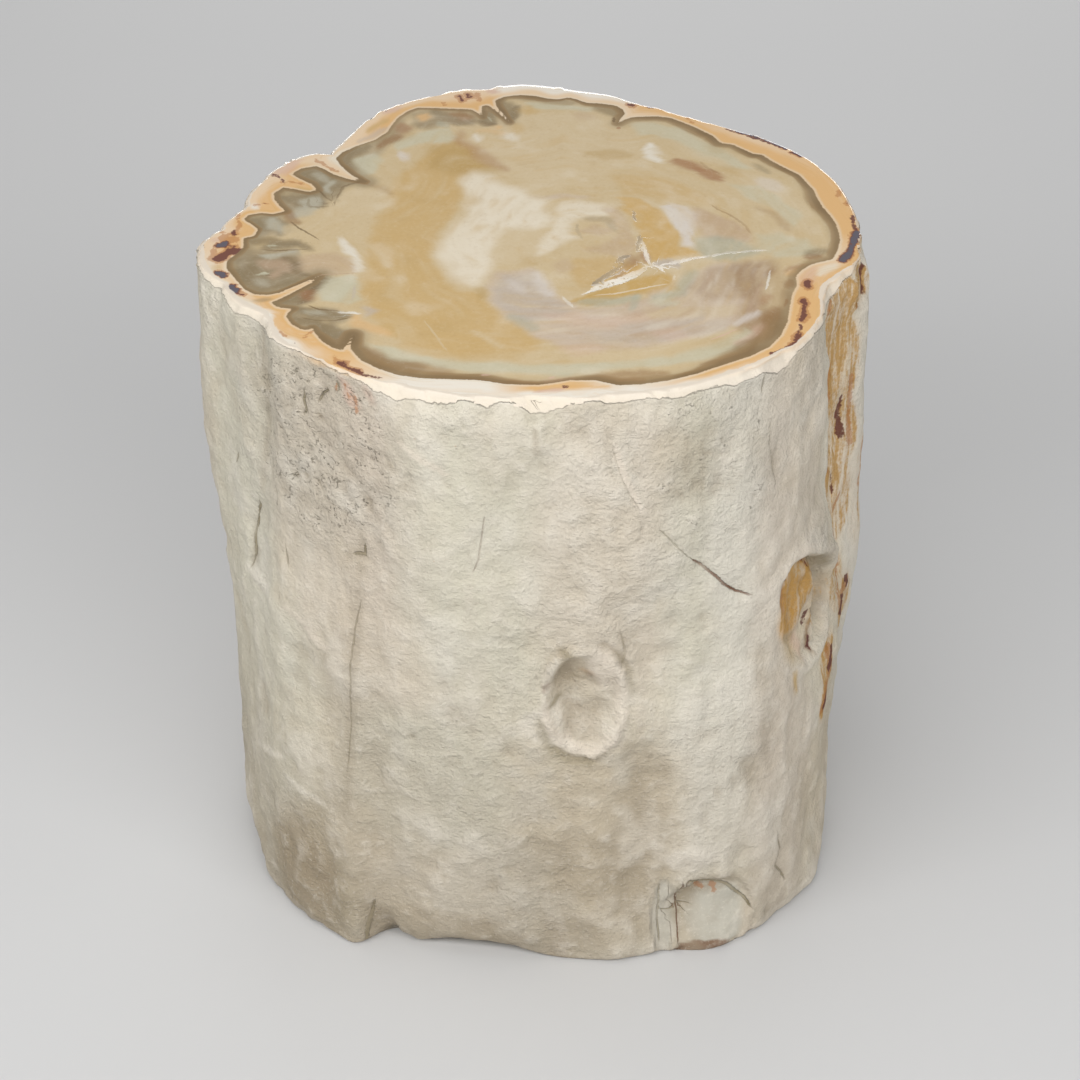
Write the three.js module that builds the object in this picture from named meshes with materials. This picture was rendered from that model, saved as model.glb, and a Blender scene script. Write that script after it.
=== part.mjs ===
// A short length of petrified wood: one stone, sawn flat at both ends, its upper cut polished.
// The weathered rind keeps the trunk's form, with bark furrows, two branch scars and chipped edges.
// Millimetres, +Z up. The origin is in the middle of the lower cut, and the front faces -Y.
// Angles are degrees round the trunk, counter-clockwise from +X as seen from above.

import * as THREE from "three";

// Driving dimensions
const height = 83; // from the lower cut to the polished cut
const columns = 120; // steps round the trunk
const crust = 0.3; // height of the smaller lumps on the rind
const bevelHeight = 4.5; // how far up or down the side a chipped edge is drawn in
const footRounding = 0.5; // how far the worn lower edge is drawn in all round

// Closed outlines of the two cuts, as [angle, distance from the axis]
const rimOutline = [
  [0, 38.4], [9, 38.6], [22, 38.2], [31, 37.6], [41, 36.2], [50, 34.8], [60, 34.6],
  [70, 35.4], [82, 36.2], [93, 37.3], [104, 37.2], [116, 36.2], [123, 35.4], [129, 33.4],
  [138, 32.3], [146, 33.7], [152, 34.9], [164, 34.9], [172, 35.3], [178, 36.4], [184, 38.6],
  [192, 38.8], [198, 37.6], [205, 36.8], [212, 36.4], [219, 36.6], [228, 36.1], [238, 36.2],
  [250, 37.6], [262, 36.8], [275, 36.6], [287, 37.4], [302, 38.6], [317, 38.7], [327, 37.8],
  [335, 37.2], [343, 37.8], [351, 39.2],
];
const footOutline = [
  [0, 38.4], [30, 37.6], [60, 35.8], [90, 36.6], [120, 36.2], [150, 34.8], [180, 36.4],
  [193, 38.0], [203, 39.0], [213, 40.0], [222, 40.3], [231, 39.7], [237, 40.4], [240, 37.3],
  [243, 36.9], [250, 36.6], [262, 36.1], [274, 35.5], [284, 36.8], [293, 37.3], [302, 39.3],
  [310, 41.2], [320, 42.0], [330, 42.0], [340, 40.3], [350, 39.2],
];

// Broad swells and hollows of the trunk: where, how far they reach round and up, how high
const swells = [
  { name: "left shoulder", at: [189, 62], reach: [10, 13], rise: 1.1 },
  { name: "left waist", at: [193, 38], reach: [12, 8], rise: -0.7 },
  { name: "right ridge, upper", at: [354, 58], reach: [5, 17], rise: 1.6 },
  { name: "right ridge, lower", at: [353, 40], reach: [7, 9], rise: 1.9 },
  { name: "right flank", at: [344, 14], reach: [10, 11], rise: -0.9 },
  { name: "front panel", at: [300, 64], reach: [16, 18], rise: 0.5 },
  { name: "belly right of the scar", at: [304, 24], reach: [9, 12], rise: 1.2 },
  { name: "lower left bulge", at: [224, 14], reach: [13, 13], rise: 0.4 },
  { name: "foot of the flaked patch", at: [304, 0], reach: [5.5, 5], rise: 2.6 },
  { name: "back hollow", at: [138, 46], reach: [11, 24], rise: -1.1 },
  { name: "back swell", at: [84, 34], reach: [15, 16], rise: 1.1 },
];

// Bark furrows, each followed from above down: [angle, height, depth, half width]
const furrows = [
  {
    name: "left crease",
    path: [[213, 83, 1.5, 2.2], [215, 77, 1.4, 2.2], [214.5, 67, 1.1, 2.2], [212, 57, 0.9, 2.0],
      [209, 45, 0, 2.0]],
  },
  { name: "corner notch", path: [[198, 83, 0.6, 2.0], [200, 76, 0.5, 2.2], [202, 64, 0, 2.2]] },
  {
    name: "stained channel",
    floor: 0.5,
    path: [[341, 83, 0.9, 4.4], [342, 76, 1.6, 4.6], [343, 60, 2.0, 4.4], [347, 48, 1.9, 3.6],
      [349, 36, 1.5, 2.8], [345, 22, 0.8, 3.0], [342, 12, 0, 3.0]],
  },
  {
    name: "fold under the scar",
    path: [[287, 36, 0, 3.0], [288, 28, 1.0, 3.4], [290, 18, 1.3, 3.6], [290, 8, 0.8, 3.4], [289, 1, 0, 3.0]],
  },
  {
    name: "seam at the left",
    path: [[238, 55, 0, 2.2], [236, 41, 0.6, 2.4], [235, 25, 0.8, 2.6], [233, 12, 0, 2.6]],
  },
  {
    name: "lower right seam",
    path: [[326, 24, 0, 2.0], [327, 13, 0.8, 2.0], [330, 4, 0.6, 2.0], [331, 0, 0, 2.0]],
  },
  {
    name: "back furrow, left",
    path: [[141, 83, 1.3, 2.0], [142, 62, 1.5, 2.2], [145, 30, 1.0, 2.6], [147, 8, 0, 2.6]],
  },
  {
    name: "back furrow, middle",
    path: [[98, 83, 0.8, 2.0], [97, 60, 1.4, 2.4], [94, 22, 0.9, 2.6], [93, 0, 0.5, 2.6]],
  },
  {
    name: "back furrow, right",
    path: [[69, 83, 0.8, 2.0], [68, 66, 1.3, 2.2], [65, 40, 0.9, 2.4], [64, 16, 0, 2.4]],
  },
  {
    name: "far left furrow",
    path: [[171, 83, 0.9, 2.0], [170, 58, 1.2, 2.6], [168, 20, 0.8, 2.6], [167, 0, 0.4, 2.6]],
  },
  {
    name: "far right furrow",
    path: [[20, 76, 0, 2.4], [19, 50, 1.2, 2.8], [16, 22, 0.9, 2.8], [15, 0, 0.6, 2.4]],
  },
];

// Branch scars: a raised collar round a sunken middle
const scars = [
  { name: "front scar", at: [279.5, 42], half: [5.2, 7.2], collar: 0.9, collarWidth: 0.36, dish: 1.2 },
  { name: "right scar", at: [327.5, 43], half: [6.6, 10.4], collar: 0.2, collarWidth: 0.4, dish: 2.7 },
  { name: "back scar", at: [118, 28], half: [5.8, 6.8], collar: 0.8, collarWidth: 0.36, dish: 1.3 },
];

// Flakes broken from the edge of a cut: where, how far round, how far in and how far along the side
const rimChips = [
  { at: 250, reach: 6.5, inset: 0.8, drop: 1.0 },
  { at: 262, reach: 4.5, inset: 0.5, drop: 0.5 },
  { at: 271, reach: 5.5, inset: 0.7, drop: 0.9 },
  { at: 286, reach: 6.5, inset: 0.5, drop: 0.6 },
  { at: 301, reach: 7.0, inset: 0.5, drop: 0.6 },
  { at: 226, reach: 6.0, inset: 0.4, drop: 0.6 },
  { at: 352, reach: 6.5, inset: 0.3, drop: 2.2 },
  { at: 105, reach: 7.0, inset: 0.2, drop: 0.3 },
  { at: 44, reach: 6.0, inset: 0.4, drop: 0.6 },
  { at: 155, reach: 5.0, inset: 0.5, drop: 0.7 },
];
const footChips = [
  { at: 241.5, reach: 2.6, inset: 0.5, drop: 2.0 },
  { at: 258, reach: 12, inset: 1.7, drop: 1.7 },
  { at: 202, reach: 8, inset: 0.4, drop: 0.6 },
  { at: 20, reach: 12, inset: 1.2, drop: 1.8 },
  { at: 80, reach: 10, inset: 1.0, drop: 1.6 },
  { at: 150, reach: 9, inset: 1.4, drop: 2.0 },
];

// The flaked patch with an arched upper edge, low on the front
const flakedPatch = { at: [303, 4], half: [7.0, 7.0], depth: 0.9, lip: 0.3 };

const radians = THREE.MathUtils.degToRad;
const meanRadius = 37.5; // turns degrees round the trunk into millimetres

// Signed distance round the trunk, in millimetres, from one angle to another
function around(angle, from) {
  const turn = THREE.MathUtils.euclideanModulo(angle - from + 180, 360) - 180;
  return radians(turn) * meanRadius;
}

// A smooth closed curve through [angle, radius] points, as a function of the angle
function closedOutline(points) {
  const points3 = points.map(([angle, radius]) =>
    new THREE.Vector3(radius * Math.cos(radians(angle)), radius * Math.sin(radians(angle)), 0));
  const samples = new THREE.CatmullRomCurve3(points3, true, "centripetal").getPoints(1440);
  const polar = samples.map((p) => [
    THREE.MathUtils.euclideanModulo(THREE.MathUtils.radToDeg(Math.atan2(p.y, p.x)), 360),
    Math.hypot(p.x, p.y),
  ]).sort((a, b) => a[0] - b[0]);
  return (angle) => {
    const turn = THREE.MathUtils.euclideanModulo(angle, 360);
    const next = polar.findIndex((p) => p[0] >= turn);
    const [b, a] = next > 0 ? [polar[next], polar[next - 1]] : [polar[0], polar[polar.length - 1]];
    const gap = THREE.MathUtils.euclideanModulo(b[0] - a[0], 360) || 1;
    return THREE.MathUtils.lerp(a[1], b[1], THREE.MathUtils.euclideanModulo(turn - a[0], 360) / gap);
  };
}

const rimRadius = closedOutline(rimOutline);
const footRadius = closedOutline(footOutline);

// Where a furrow runs at a height: its angle, depth and half width, or null above or below it
function furrowAt(furrow, z) {
  const below = furrow.path.findIndex((p) => p[1] <= z);
  if (below < 0) return null;
  const from = furrow.path[Math.max(0, below - 1)];
  const to = furrow.path[below];
  const share = from === to ? 0 : THREE.MathUtils.smoothstep(z, to[1], from[1]);
  return [0, 2, 3].map((i) => THREE.MathUtils.lerp(to[i], from[i], share));
}

// A furrow's cross-section: 1 on its line, fading to 0 beyond its half width. floor is its flat share
function trough(distance, halfWidth, floor = 0) {
  return 1 - THREE.MathUtils.smoothstep(Math.abs(distance) / halfWidth, floor, 1.6);
}

// Repeatable noise from 0 to 1 on a lattice of points
function lattice(i, j, k) {
  const wave = Math.sin(i * 127.1 + j * 311.7 + k * 74.7) * 43758.5453;
  return wave - Math.floor(wave);
}

function noise(x, y, z) {
  const cell = [x, y, z].map(Math.floor);
  const ease = [x, y, z].map((v, i) => THREE.MathUtils.smoothstep(v - cell[i], 0, 1));
  let sum = 0;
  for (const corner of [0, 1, 2, 3, 4, 5, 6, 7]) {
    const step = [corner & 1, (corner >> 1) & 1, corner >> 2];
    const weight = step.reduce((w, s, i) => w * (s ? ease[i] : 1 - ease[i]), 1);
    sum += weight * lattice(cell[0] + step[0], cell[1] + step[1], cell[2] + step[2]);
  }
  return 2 * sum - 1;
}

// Lumps on the rind, longer up the trunk than round it
function lumps(angle, z) {
  const x = meanRadius * Math.cos(radians(angle));
  const y = meanRadius * Math.sin(radians(angle));
  const broad = noise(x / 12 + 5, y / 12, z / 21);
  const small = noise(x / 6, y / 6 + 9, z / 9);
  return crust * (1.6 * broad + 0.9 * small);
}

// How a scar lifts or sinks the rind
function scarRelief(scar, angle, z) {
  const across = around(angle, scar.at[0]) / scar.half[0];
  const up = (z - scar.at[1]) / scar.half[1];
  const distance = Math.hypot(across, up);
  const collar = scar.collar * Math.exp(-(((distance - 1) / scar.collarWidth) ** 2));
  return collar - scar.dish * (1 - THREE.MathUtils.smoothstep(distance, 0.3, 1.05));
}

function patchRelief(angle, z) {
  const across = around(angle, flakedPatch.at[0]) / flakedPatch.half[0];
  const up = Math.max(0, z - flakedPatch.at[1]) / flakedPatch.half[1];
  const distance = Math.hypot(across, up);
  return -flakedPatch.depth * (1 - THREE.MathUtils.smoothstep(distance, 1 - flakedPatch.lip, 1));
}

// How much a chip takes at an angle, from 0 to 1
function chipShare(chip, angle) {
  return 1 - THREE.MathUtils.smoothstep(Math.abs(around(angle, chip.at)) / chip.reach, 0.2, 1);
}

function deepest(chips, angle, size) {
  return Math.max(...chips.map((chip) => chip[size] * chipShare(chip, angle)));
}

// The rind's distance from the axis at an angle and a height
function rindRadius(angle, z) {
  let radius = THREE.MathUtils.lerp(footRadius(angle), rimRadius(angle), z / height);
  for (const { at, reach, rise } of swells) {
    radius += rise * Math.exp(-((around(angle, at[0]) / reach[0]) ** 2) - ((z - at[1]) / reach[1]) ** 2);
  }
  for (const furrow of furrows) {
    const here = furrowAt(furrow, z);
    if (here) radius -= here[1] * trough(around(angle, here[0]), here[2], furrow.floor);
  }
  for (const scar of scars) radius += scarRelief(scar, angle, z);
  radius += patchRelief(angle, z) + lumps(angle, z);
  const nearRim = Math.max(0, 1 - (height - z) / bevelHeight) ** 2;
  const nearFoot = Math.max(0, 1 - z / bevelHeight) ** 2;
  radius -= nearRim * deepest(rimChips, angle, "inset");
  return radius - nearFoot * (footRounding + deepest(footChips, angle, "inset"));
}

// The section that is turned round the axis, from the middle of the lower cut, up the rind, to the
// middle of the polished cut. x is a share of the rind's radius, so both cuts keep their outlines
function section() {
  const lowerRings = [0, 0.5, 0.93];
  const upperRings = [0.965, 0.6, 0];
  const edgeLevels = [0, 0.9, 2.2, 4.2]; // rows of points close to either cut
  const sideRows = 29;
  const levels = [...edgeLevels];
  for (let row = 1; row < sideRows; row++) {
    levels.push(THREE.MathUtils.lerp(edgeLevels[3], height - edgeLevels[3], row / sideRows));
  }
  levels.push(...edgeLevels.map((z) => height - z).reverse());
  return [
    ...lowerRings.map((share) => new THREE.Vector2(share, 0)),
    ...levels.map((z) => new THREE.Vector2(1, z)),
    ...upperRings.map((share) => new THREE.Vector2(share, height)),
  ];
}

// The turned section, each point then moved out to the rind and down or up where an edge is chipped
function trunk() {
  const geometry = new THREE.LatheGeometry(section(), columns).rotateX(Math.PI / 2);
  const position = geometry.getAttribute("position");
  for (let i = 0; i < position.count; i++) {
    const share = Math.hypot(position.getX(i), position.getY(i));
    if (share < 1e-6) continue;
    const turn = THREE.MathUtils.radToDeg(Math.atan2(position.getY(i), position.getX(i)));
    const angle = THREE.MathUtils.euclideanModulo(Math.round(turn * 1000) / 1000, 360);
    let z = position.getZ(i);
    const radius = share * rindRadius(angle, z);
    if (share > 0.999 && z > height - 0.1) z -= deepest(rimChips, angle, "drop");
    else if (share > 0.999 && z < 0.1) z += deepest(footChips, angle, "drop");
    else if (share > 0.999) z = edgeRow(angle, z);
    position.setXYZ(i, radius * Math.cos(radians(angle)), radius * Math.sin(radians(angle)), z);
  }
  return geometry;
}

// Rows close to a chipped edge make room for it
function edgeRow(angle, z) {
  const crowd = 8; // millimetres of side that share the move
  const down = deepest(rimChips, angle, "drop") * Math.max(0, 1 - (height - z) / crowd);
  const up = deepest(footChips, angle, "drop") * Math.max(0, 1 - z / crowd);
  return z - down + up;
}

const stone = new THREE.MeshStandardMaterial({ color: 0xd2c8b6, roughness: 0.85, metalness: 0 });
const form = trunk();
form.computeBoundingBox();
const middle = form.boundingBox.getCenter(new THREE.Vector3());
form.translate(-middle.x, -middle.y, 0); // the axis stands a little off the middle of the footprint
const petrifiedWood = new THREE.Mesh(form, stone);
petrifiedWood.name = "petrified_wood";

const specimen = new THREE.Group();
specimen.add(petrifiedWood);

export default specimen;
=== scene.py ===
# A short length of petrified wood: upper cut polished, lower cut sawn, the rind weathered and chalky.
# The tables below are in millimetres and degrees round the trunk, counter-clockwise from +X.
import math
import bpy
import numpy as np
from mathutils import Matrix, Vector


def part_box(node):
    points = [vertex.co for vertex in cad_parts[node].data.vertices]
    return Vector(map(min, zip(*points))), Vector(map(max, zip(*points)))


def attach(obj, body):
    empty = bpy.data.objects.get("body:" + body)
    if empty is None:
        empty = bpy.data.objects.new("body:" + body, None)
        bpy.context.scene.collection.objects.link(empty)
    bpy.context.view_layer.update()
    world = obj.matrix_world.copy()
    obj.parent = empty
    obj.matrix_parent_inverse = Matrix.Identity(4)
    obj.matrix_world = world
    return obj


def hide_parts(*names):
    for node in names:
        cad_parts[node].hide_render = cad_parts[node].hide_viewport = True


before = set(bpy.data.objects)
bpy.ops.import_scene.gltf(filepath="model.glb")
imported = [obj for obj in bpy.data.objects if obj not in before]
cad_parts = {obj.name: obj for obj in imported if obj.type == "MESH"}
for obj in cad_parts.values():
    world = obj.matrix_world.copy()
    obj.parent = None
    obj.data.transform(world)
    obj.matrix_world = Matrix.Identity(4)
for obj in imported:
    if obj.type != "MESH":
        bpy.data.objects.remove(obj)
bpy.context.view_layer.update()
nodeName = "petrified_wood"
lowest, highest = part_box(nodeName)
mm = 0.001
height = (highest.z - lowest.z) / mm
meanRadius = (highest.x - lowest.x + highest.y - lowest.y) / 4 / mm

# the trunk's axis comes up through the middle point of the lower cut, a little off the origin
footPoints = [v.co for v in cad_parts[nodeName].data.vertices if v.co.z < lowest.z + 1e-6]
trunkAxis = min(footPoints, key=lambda co: co.to_2d().length).to_2d()
axisPoint = Vector((trunkAxis.x, trunkAxis.y, highest.z))


# Colours of the stone, red, green and blue from 0 to 255

palette = {
    "rind": (218, 209, 189),
    "rindPale": (225, 219, 206),
    "rindGreen": (208, 204, 186),
    "rindPink": (209, 196, 179),
    "rindWarm": (206, 192, 168),
    # the next colour is the rind's own darker dirt and tone, and also painted shade at the foot, in the
    # sunken relief, and in creases, folds and recesses
    "rindShadeAndDirt": (166, 152, 130),
    # the next colour is painted shadow down narrow grooves and in the recesses of the scars and the foot
    # patch, and also a stain low on the left and the small pits
    "groove": (148, 136, 108),
    "chalk": (238, 230, 216),
    "crust": (229, 217, 200),
    "cream": (232, 221, 200),
    "peach": (233, 206, 172),
    "orange": (226, 182, 124),
    "rust": (176, 110, 54),
    "umber": (112, 66, 34),
    "maroon": (104, 56, 50),
    "slate": (94, 93, 104),
    "pink": (216, 182, 162),
    "darkLine": (118, 96, 64),
    "lineBrown": (150, 120, 78),
    "olive": (138, 120, 88),
    "greyOlive": (142, 126, 96),
    "paleGreen": (201, 196, 170),
    "tan": (208, 186, 146),
    "sand": (212, 192, 156),
    "gold": (203, 170, 112),
    "deepGold": (184, 152, 92),
    "honey": (206, 168, 100),
    "lilac": (203, 185, 168),
    "greyLilac": (193, 180, 165),
    "lilacWhite": (220, 212, 204),
    "rose": (190, 162, 134),
    "roseBrown": (166, 138, 106),
    "paleGrey": (206, 204, 192),
    "lobe": (156, 139, 110),
    "lobePale": (188, 182, 162),
    "teal": (176, 176, 156),
    "white": (235, 230, 218),
    "brown": (150, 114, 74),
    "redBrown": (160, 110, 70),
    "specks": (150, 136, 116),
    "lensYellow": (200, 162, 90),
    "thread": (190, 144, 68),
}


def linear(name):  # a palette colour as Blender's linear light
    parts = [c / 255 for c in palette[name]]
    return [c / 12.92 if c <= 0.04045 else ((c + 0.055) / 1.055) ** 2.4 for c in parts]


# Number work on whole meshes

def smooth(value, start, end):
    share = np.clip((value - start) / (end - start), 0, 1)
    return share * share * (3 - 2 * share)


def bell(value):
    return np.exp(-value * value)


def lattice(cells, seed):  # one repeatable number from 0 to 1 for each whole-numbered cell
    i, j, k = (cells[:, n].astype(np.int64) for n in range(3))
    mixed = (i * 73856093) ^ (j * 19349663) ^ (k * 83492791) ^ (seed * 2654435761)
    mixed = (mixed ^ (mixed >> 13)) * 1274126177
    mixed = mixed ^ (mixed >> 16)
    return (mixed & 0xFFFF) / 0xFFFF


def noise(points, size, seed=0):  # smooth noise from -1 to 1, one lump about size across
    spots = points / size
    cells = np.floor(spots)
    ease = spots - cells
    ease = ease * ease * (3 - 2 * ease)
    total = 0
    for corner in range(8):
        step = np.array([corner & 1, corner >> 1 & 1, corner >> 2])
        share = np.prod(np.where(step, ease, 1 - ease), axis=1)
        total = total + share * lattice(cells + step, seed)
    return 2 * total - 1


def alongPath(spots, path):  # distance to a path of points, its side (+1 left, -1 right) and the share along
    best = np.full(len(spots), 1e9)
    side = np.ones(len(spots))
    along = np.full(len(spots), 0.5)
    path = np.array(path, float)[:, :2]
    steps = max(1, len(path) - 1)
    for n in range(steps):
        start, end = path[n], path[min(n + 1, len(path) - 1)]
        run = end - start
        share = np.clip(((spots - start) @ run) / max(run @ run, 1e-9), 0, 1)
        away = spots - start - share[:, None] * run
        distance = np.hypot(away[:, 0], away[:, 1])
        nearer = distance < best
        best = np.where(nearer, distance, best)
        side = np.where(nearer, np.sign(run[0] * away[:, 1] - run[1] * away[:, 0] + 1e-12), side)
        along = np.where(nearer, (n + share) / steps, along) if len(path) > 1 else along
    return best, side, along


def insideOutline(spots, outline):  # signed distance to a closed outline, positive inside
    outline = np.array(outline, float)
    closed = np.vstack([outline, outline[:1]])
    distance = alongPath(spots, closed)[0]
    inside = np.zeros(len(spots), bool)
    for (x0, y0), (x1, y1) in zip(closed[:-1], closed[1:]):
        if y0 == y1:
            continue
        crosses = (spots[:, 1] < y0) != (spots[:, 1] < y1)
        inside ^= crosses & (spots[:, 0] < x0 + (spots[:, 1] - y0) * (x1 - x0) / (y1 - y0))
    return np.where(inside, distance, -distance)


def turned(angle, at):  # millimetres round the trunk from one angle to another
    return np.radians((angle - at + 180) % 360 - 180) * meanRadius


def byAngle(angle, table, column=1):  # a table's values round the trunk
    return np.interp(angle, [row[0] for row in table], [row[column] for row in table])


# The stone's mesh: the frame's solid, with its flat triangles turned into a fine even grid

grid = {
    "rimBand": 0.93,  # faces of a cut inside this share of the radius are remade
    "firstShare": 0.965,  # where the new rings start
    "rings": [(6, 1.6), (8, 1.7), (5, 2.1)],  # rings and their width; every second edge goes after each group
    "levels": 2,  # of subdivision
}


def radiusAt(spots, top):  # the rim's radius at each angle, from the points close below the cut
    x, y = spots[:, 0] / mm - trunkAxis.x / mm, spots[:, 1] / mm - trunkAxis.y / mm
    angle = np.degrees(np.arctan2(y, x)) % 360
    band = abs(spots[:, 2] / mm - top) < 2.5
    bins = np.round(angle[band] / 3).astype(int) % 120
    reach = np.zeros(120)
    np.maximum.at(reach, bins, np.hypot(x[band], y[band]))
    return lambda turn: np.interp(turn, np.arange(121) * 3, np.append(reach, reach[0]))


def points(mesh):
    flat = np.empty(len(mesh.vertices) * 3)
    mesh.vertices.foreach_get("co", flat)
    return flat.reshape(-1, 3)


def turnOf(co):  # a point's angle round the trunk
    away = co.to_2d() - trunkAxis
    return math.degrees(math.atan2(away.y, away.x)) % 360


def editing(piece, selectBy):
    bpy.context.view_layer.objects.active = piece
    bpy.ops.object.mode_set(mode="EDIT")
    bpy.ops.mesh.select_mode(type=selectBy)


def pickOpening(piece, everySecond=False):  # selects the edges round the opening in the upper cut
    facesAt = {}
    for face in piece.data.polygons:
        for key in face.edge_keys:
            facesAt[key] = facesAt.get(key, 0) + 1
    corners = piece.data.vertices
    ring = [edge for edge in piece.data.edges
            if facesAt[edge.key] == 1 and corners[edge.vertices[0]].co.z > highest.z / 2]
    ring.sort(key=lambda edge: turnOf((corners[edge.vertices[0]].co + corners[edge.vertices[1]].co) / 2))
    for edge in ring[::2 if everySecond else 1]:
        edge.select = True


def makeGrid():
    print("trunk: copying the frame's solid")
    bpy.ops.object.select_all(action="DESELECT")
    piece = bpy.data.objects.new("petrifiedTrunk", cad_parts[nodeName].data.copy())
    bpy.context.scene.collection.objects.link(piece)
    piece.select_set(True)
    piece.data.materials.clear()
    editing(piece, "FACE")
    bpy.ops.mesh.select_all(action="SELECT")
    bpy.ops.mesh.remove_doubles(threshold=1e-6)
    bpy.ops.mesh.normals_make_consistent(inside=False)
    bpy.ops.mesh.select_all(action="DESELECT")
    bpy.ops.object.mode_set(mode="OBJECT")
    rim = radiusAt(points(piece.data), height)
    foot = radiusAt(points(piece.data), 0)
    for face in piece.data.polygons:
        upward = face.normal.z > 0
        outer = (rim if upward else foot)(turnOf(face.center)) * (1 if upward else 0.97)
        inner = (face.center.to_2d() - trunkAxis).length / mm < grid["rimBand"] * outer
        face.select = abs(face.normal.z) > 0.999 and inner
    editing(piece, "FACE")
    bpy.ops.mesh.delete(type="FACE")
    bpy.ops.mesh.select_all(action="SELECT")
    bpy.ops.mesh.tris_convert_to_quads(face_threshold=math.pi, shape_threshold=math.pi)
    bpy.ops.mesh.select_all(action="DESELECT")
    bpy.ops.mesh.select_mode(type="EDGE")
    bpy.ops.object.mode_set(mode="OBJECT")

    share = grid["firstShare"]
    for count, width in grid["rings"]:
        for n in range(count):
            nextShare = share - width / meanRadius
            factor = nextShare / share
            pickOpening(piece)
            editing(piece, "EDGE")
            bpy.ops.mesh.extrude_edges_move()
            bpy.ops.transform.resize(value=(factor, factor, 1), center_override=axisPoint)
            bpy.ops.mesh.select_all(action="DESELECT")
            bpy.ops.object.mode_set(mode="OBJECT")
            share = nextShare
        pickOpening(piece, everySecond=True)
        editing(piece, "EDGE")
        bpy.ops.mesh.merge(type="COLLAPSE")
        bpy.ops.mesh.select_all(action="DESELECT")
        bpy.ops.object.mode_set(mode="OBJECT")
    pickOpening(piece)
    editing(piece, "EDGE")
    bpy.ops.mesh.extrude_edges_move()
    bpy.ops.mesh.merge(type="CENTER")
    bpy.ops.object.mode_set(mode="OBJECT")

    smoothing = piece.modifiers.new("fine grid", "SUBSURF")
    smoothing.levels = smoothing.render_levels = grid["levels"]
    bpy.ops.object.modifier_apply(modifier=smoothing.name)

    editing(piece, "EDGE")
    bpy.ops.mesh.select_all(action="DESELECT")
    bpy.ops.mesh.select_non_manifold(extend=False)  # the open ring left in the lower cut
    bpy.ops.mesh.edge_face_add()
    bpy.ops.mesh.select_all(action="SELECT")
    bpy.ops.mesh.normals_make_consistent(inside=False)
    bpy.ops.mesh.select_all(action="DESELECT")
    bpy.ops.object.mode_set(mode="OBJECT")
    bpy.ops.object.shade_smooth()
    print("trunk:", sum(len(face.vertices) - 2 for face in piece.data.polygons), "triangles")
    return piece


# Sculpting

relief = {
    "lumps": [(5.0, 0.28), (2.3, 0.22), (1.15, 0.17)],  # size of a lump and how high
    "striation": 0.12,
    "plates": 0.24,  # height of a thin flaked layer
    "pits": 0.32,
}

# How far in from the rim the polish stops where the edge is chipped, and how far down the pale
# broken face reaches: angle, inset, depth
brokenEdge = [
    (0, 0.25, 0.3), (68, 0.25, 0.3), (100, 0.25, 0.3), (120, 0.3, 0.4), (150, 0.35, 0.4), (180, 0.4, 0.5),
    (192, 0.4, 0.5), (200, 0.4, 0.5), (206, 0.6, 1.0), (211, 0.6, 0.9), (216, 0.4, 0.5), (222, 0.3, 0.35),
    (230, 0.3, 0.25), (236, 0.3, 0.3), (240, 0.4, 0.5), (244.6, 0.8, 1.4), (247, 1.0, 1.8),
    (249, 0.9, 1.4), (252, 0.9, 1.1), (255.5, 0.8, 0.7), (258, 0.7, 0.4), (260.7, 0.7, 0.4),
    (262.3, 0.8, 0.9), (264.5, 0.7, 0.5), (267, 0.7, 0.5), (270.5, 0.8, 1.4), (272.4, 0.8, 1.4),
    (275, 0.8, 0.8), (277, 0.7, 0.5), (280, 0.7, 0.4), (284, 0.7, 0.7), (287, 0.7, 0.8), (291, 0.7, 0.6),
    (295, 0.7, 0.7), (299, 0.7, 0.8), (302, 0.7, 0.7), (305.6, 0.8, 1.3), (307, 0.7, 1.0), (311, 0.6, 0.7),
    (314.8, 0.7, 1.6), (317, 0.7, 1.6), (319.3, 0.5, 0.7), (324, 0.4, 0.5), (332, 0.4, 0.5),
    (340, 0.6, 1.0), (348, 0.6, 0.8), (352, 0.4, 0.4), (360, 0.25, 0.3),
]

# Steps and teeth of the rim's outline: first and last angle, how far out they stand, how sharp their ends are
rimSteps = [
    (69, 97.5, 0.5, 0.5), (102.6, 104.8, 0.35, 0.5), (105.6, 107.4, 0.3, 0.4), (108.2, 110.4, -0.3, 0.6),
    (124, 126.4, -0.3, 0.6), (141.8, 143.3, -1.1, 0.5), (149, 151, 0.3, 0.5), (151.6, 153, -0.2, 0.5),
    (168, 170, -0.3, 0.6), (178, 180, -0.4, 0.6), (182, 185, 0.3, 0.6), (197.5, 199.5, -0.4, 0.6),
    (207.6, 211.6, -0.5, 0.9), (223.4, 225, -0.25, 0.5), (229.6, 231, -0.3, 0.5),
]
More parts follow.
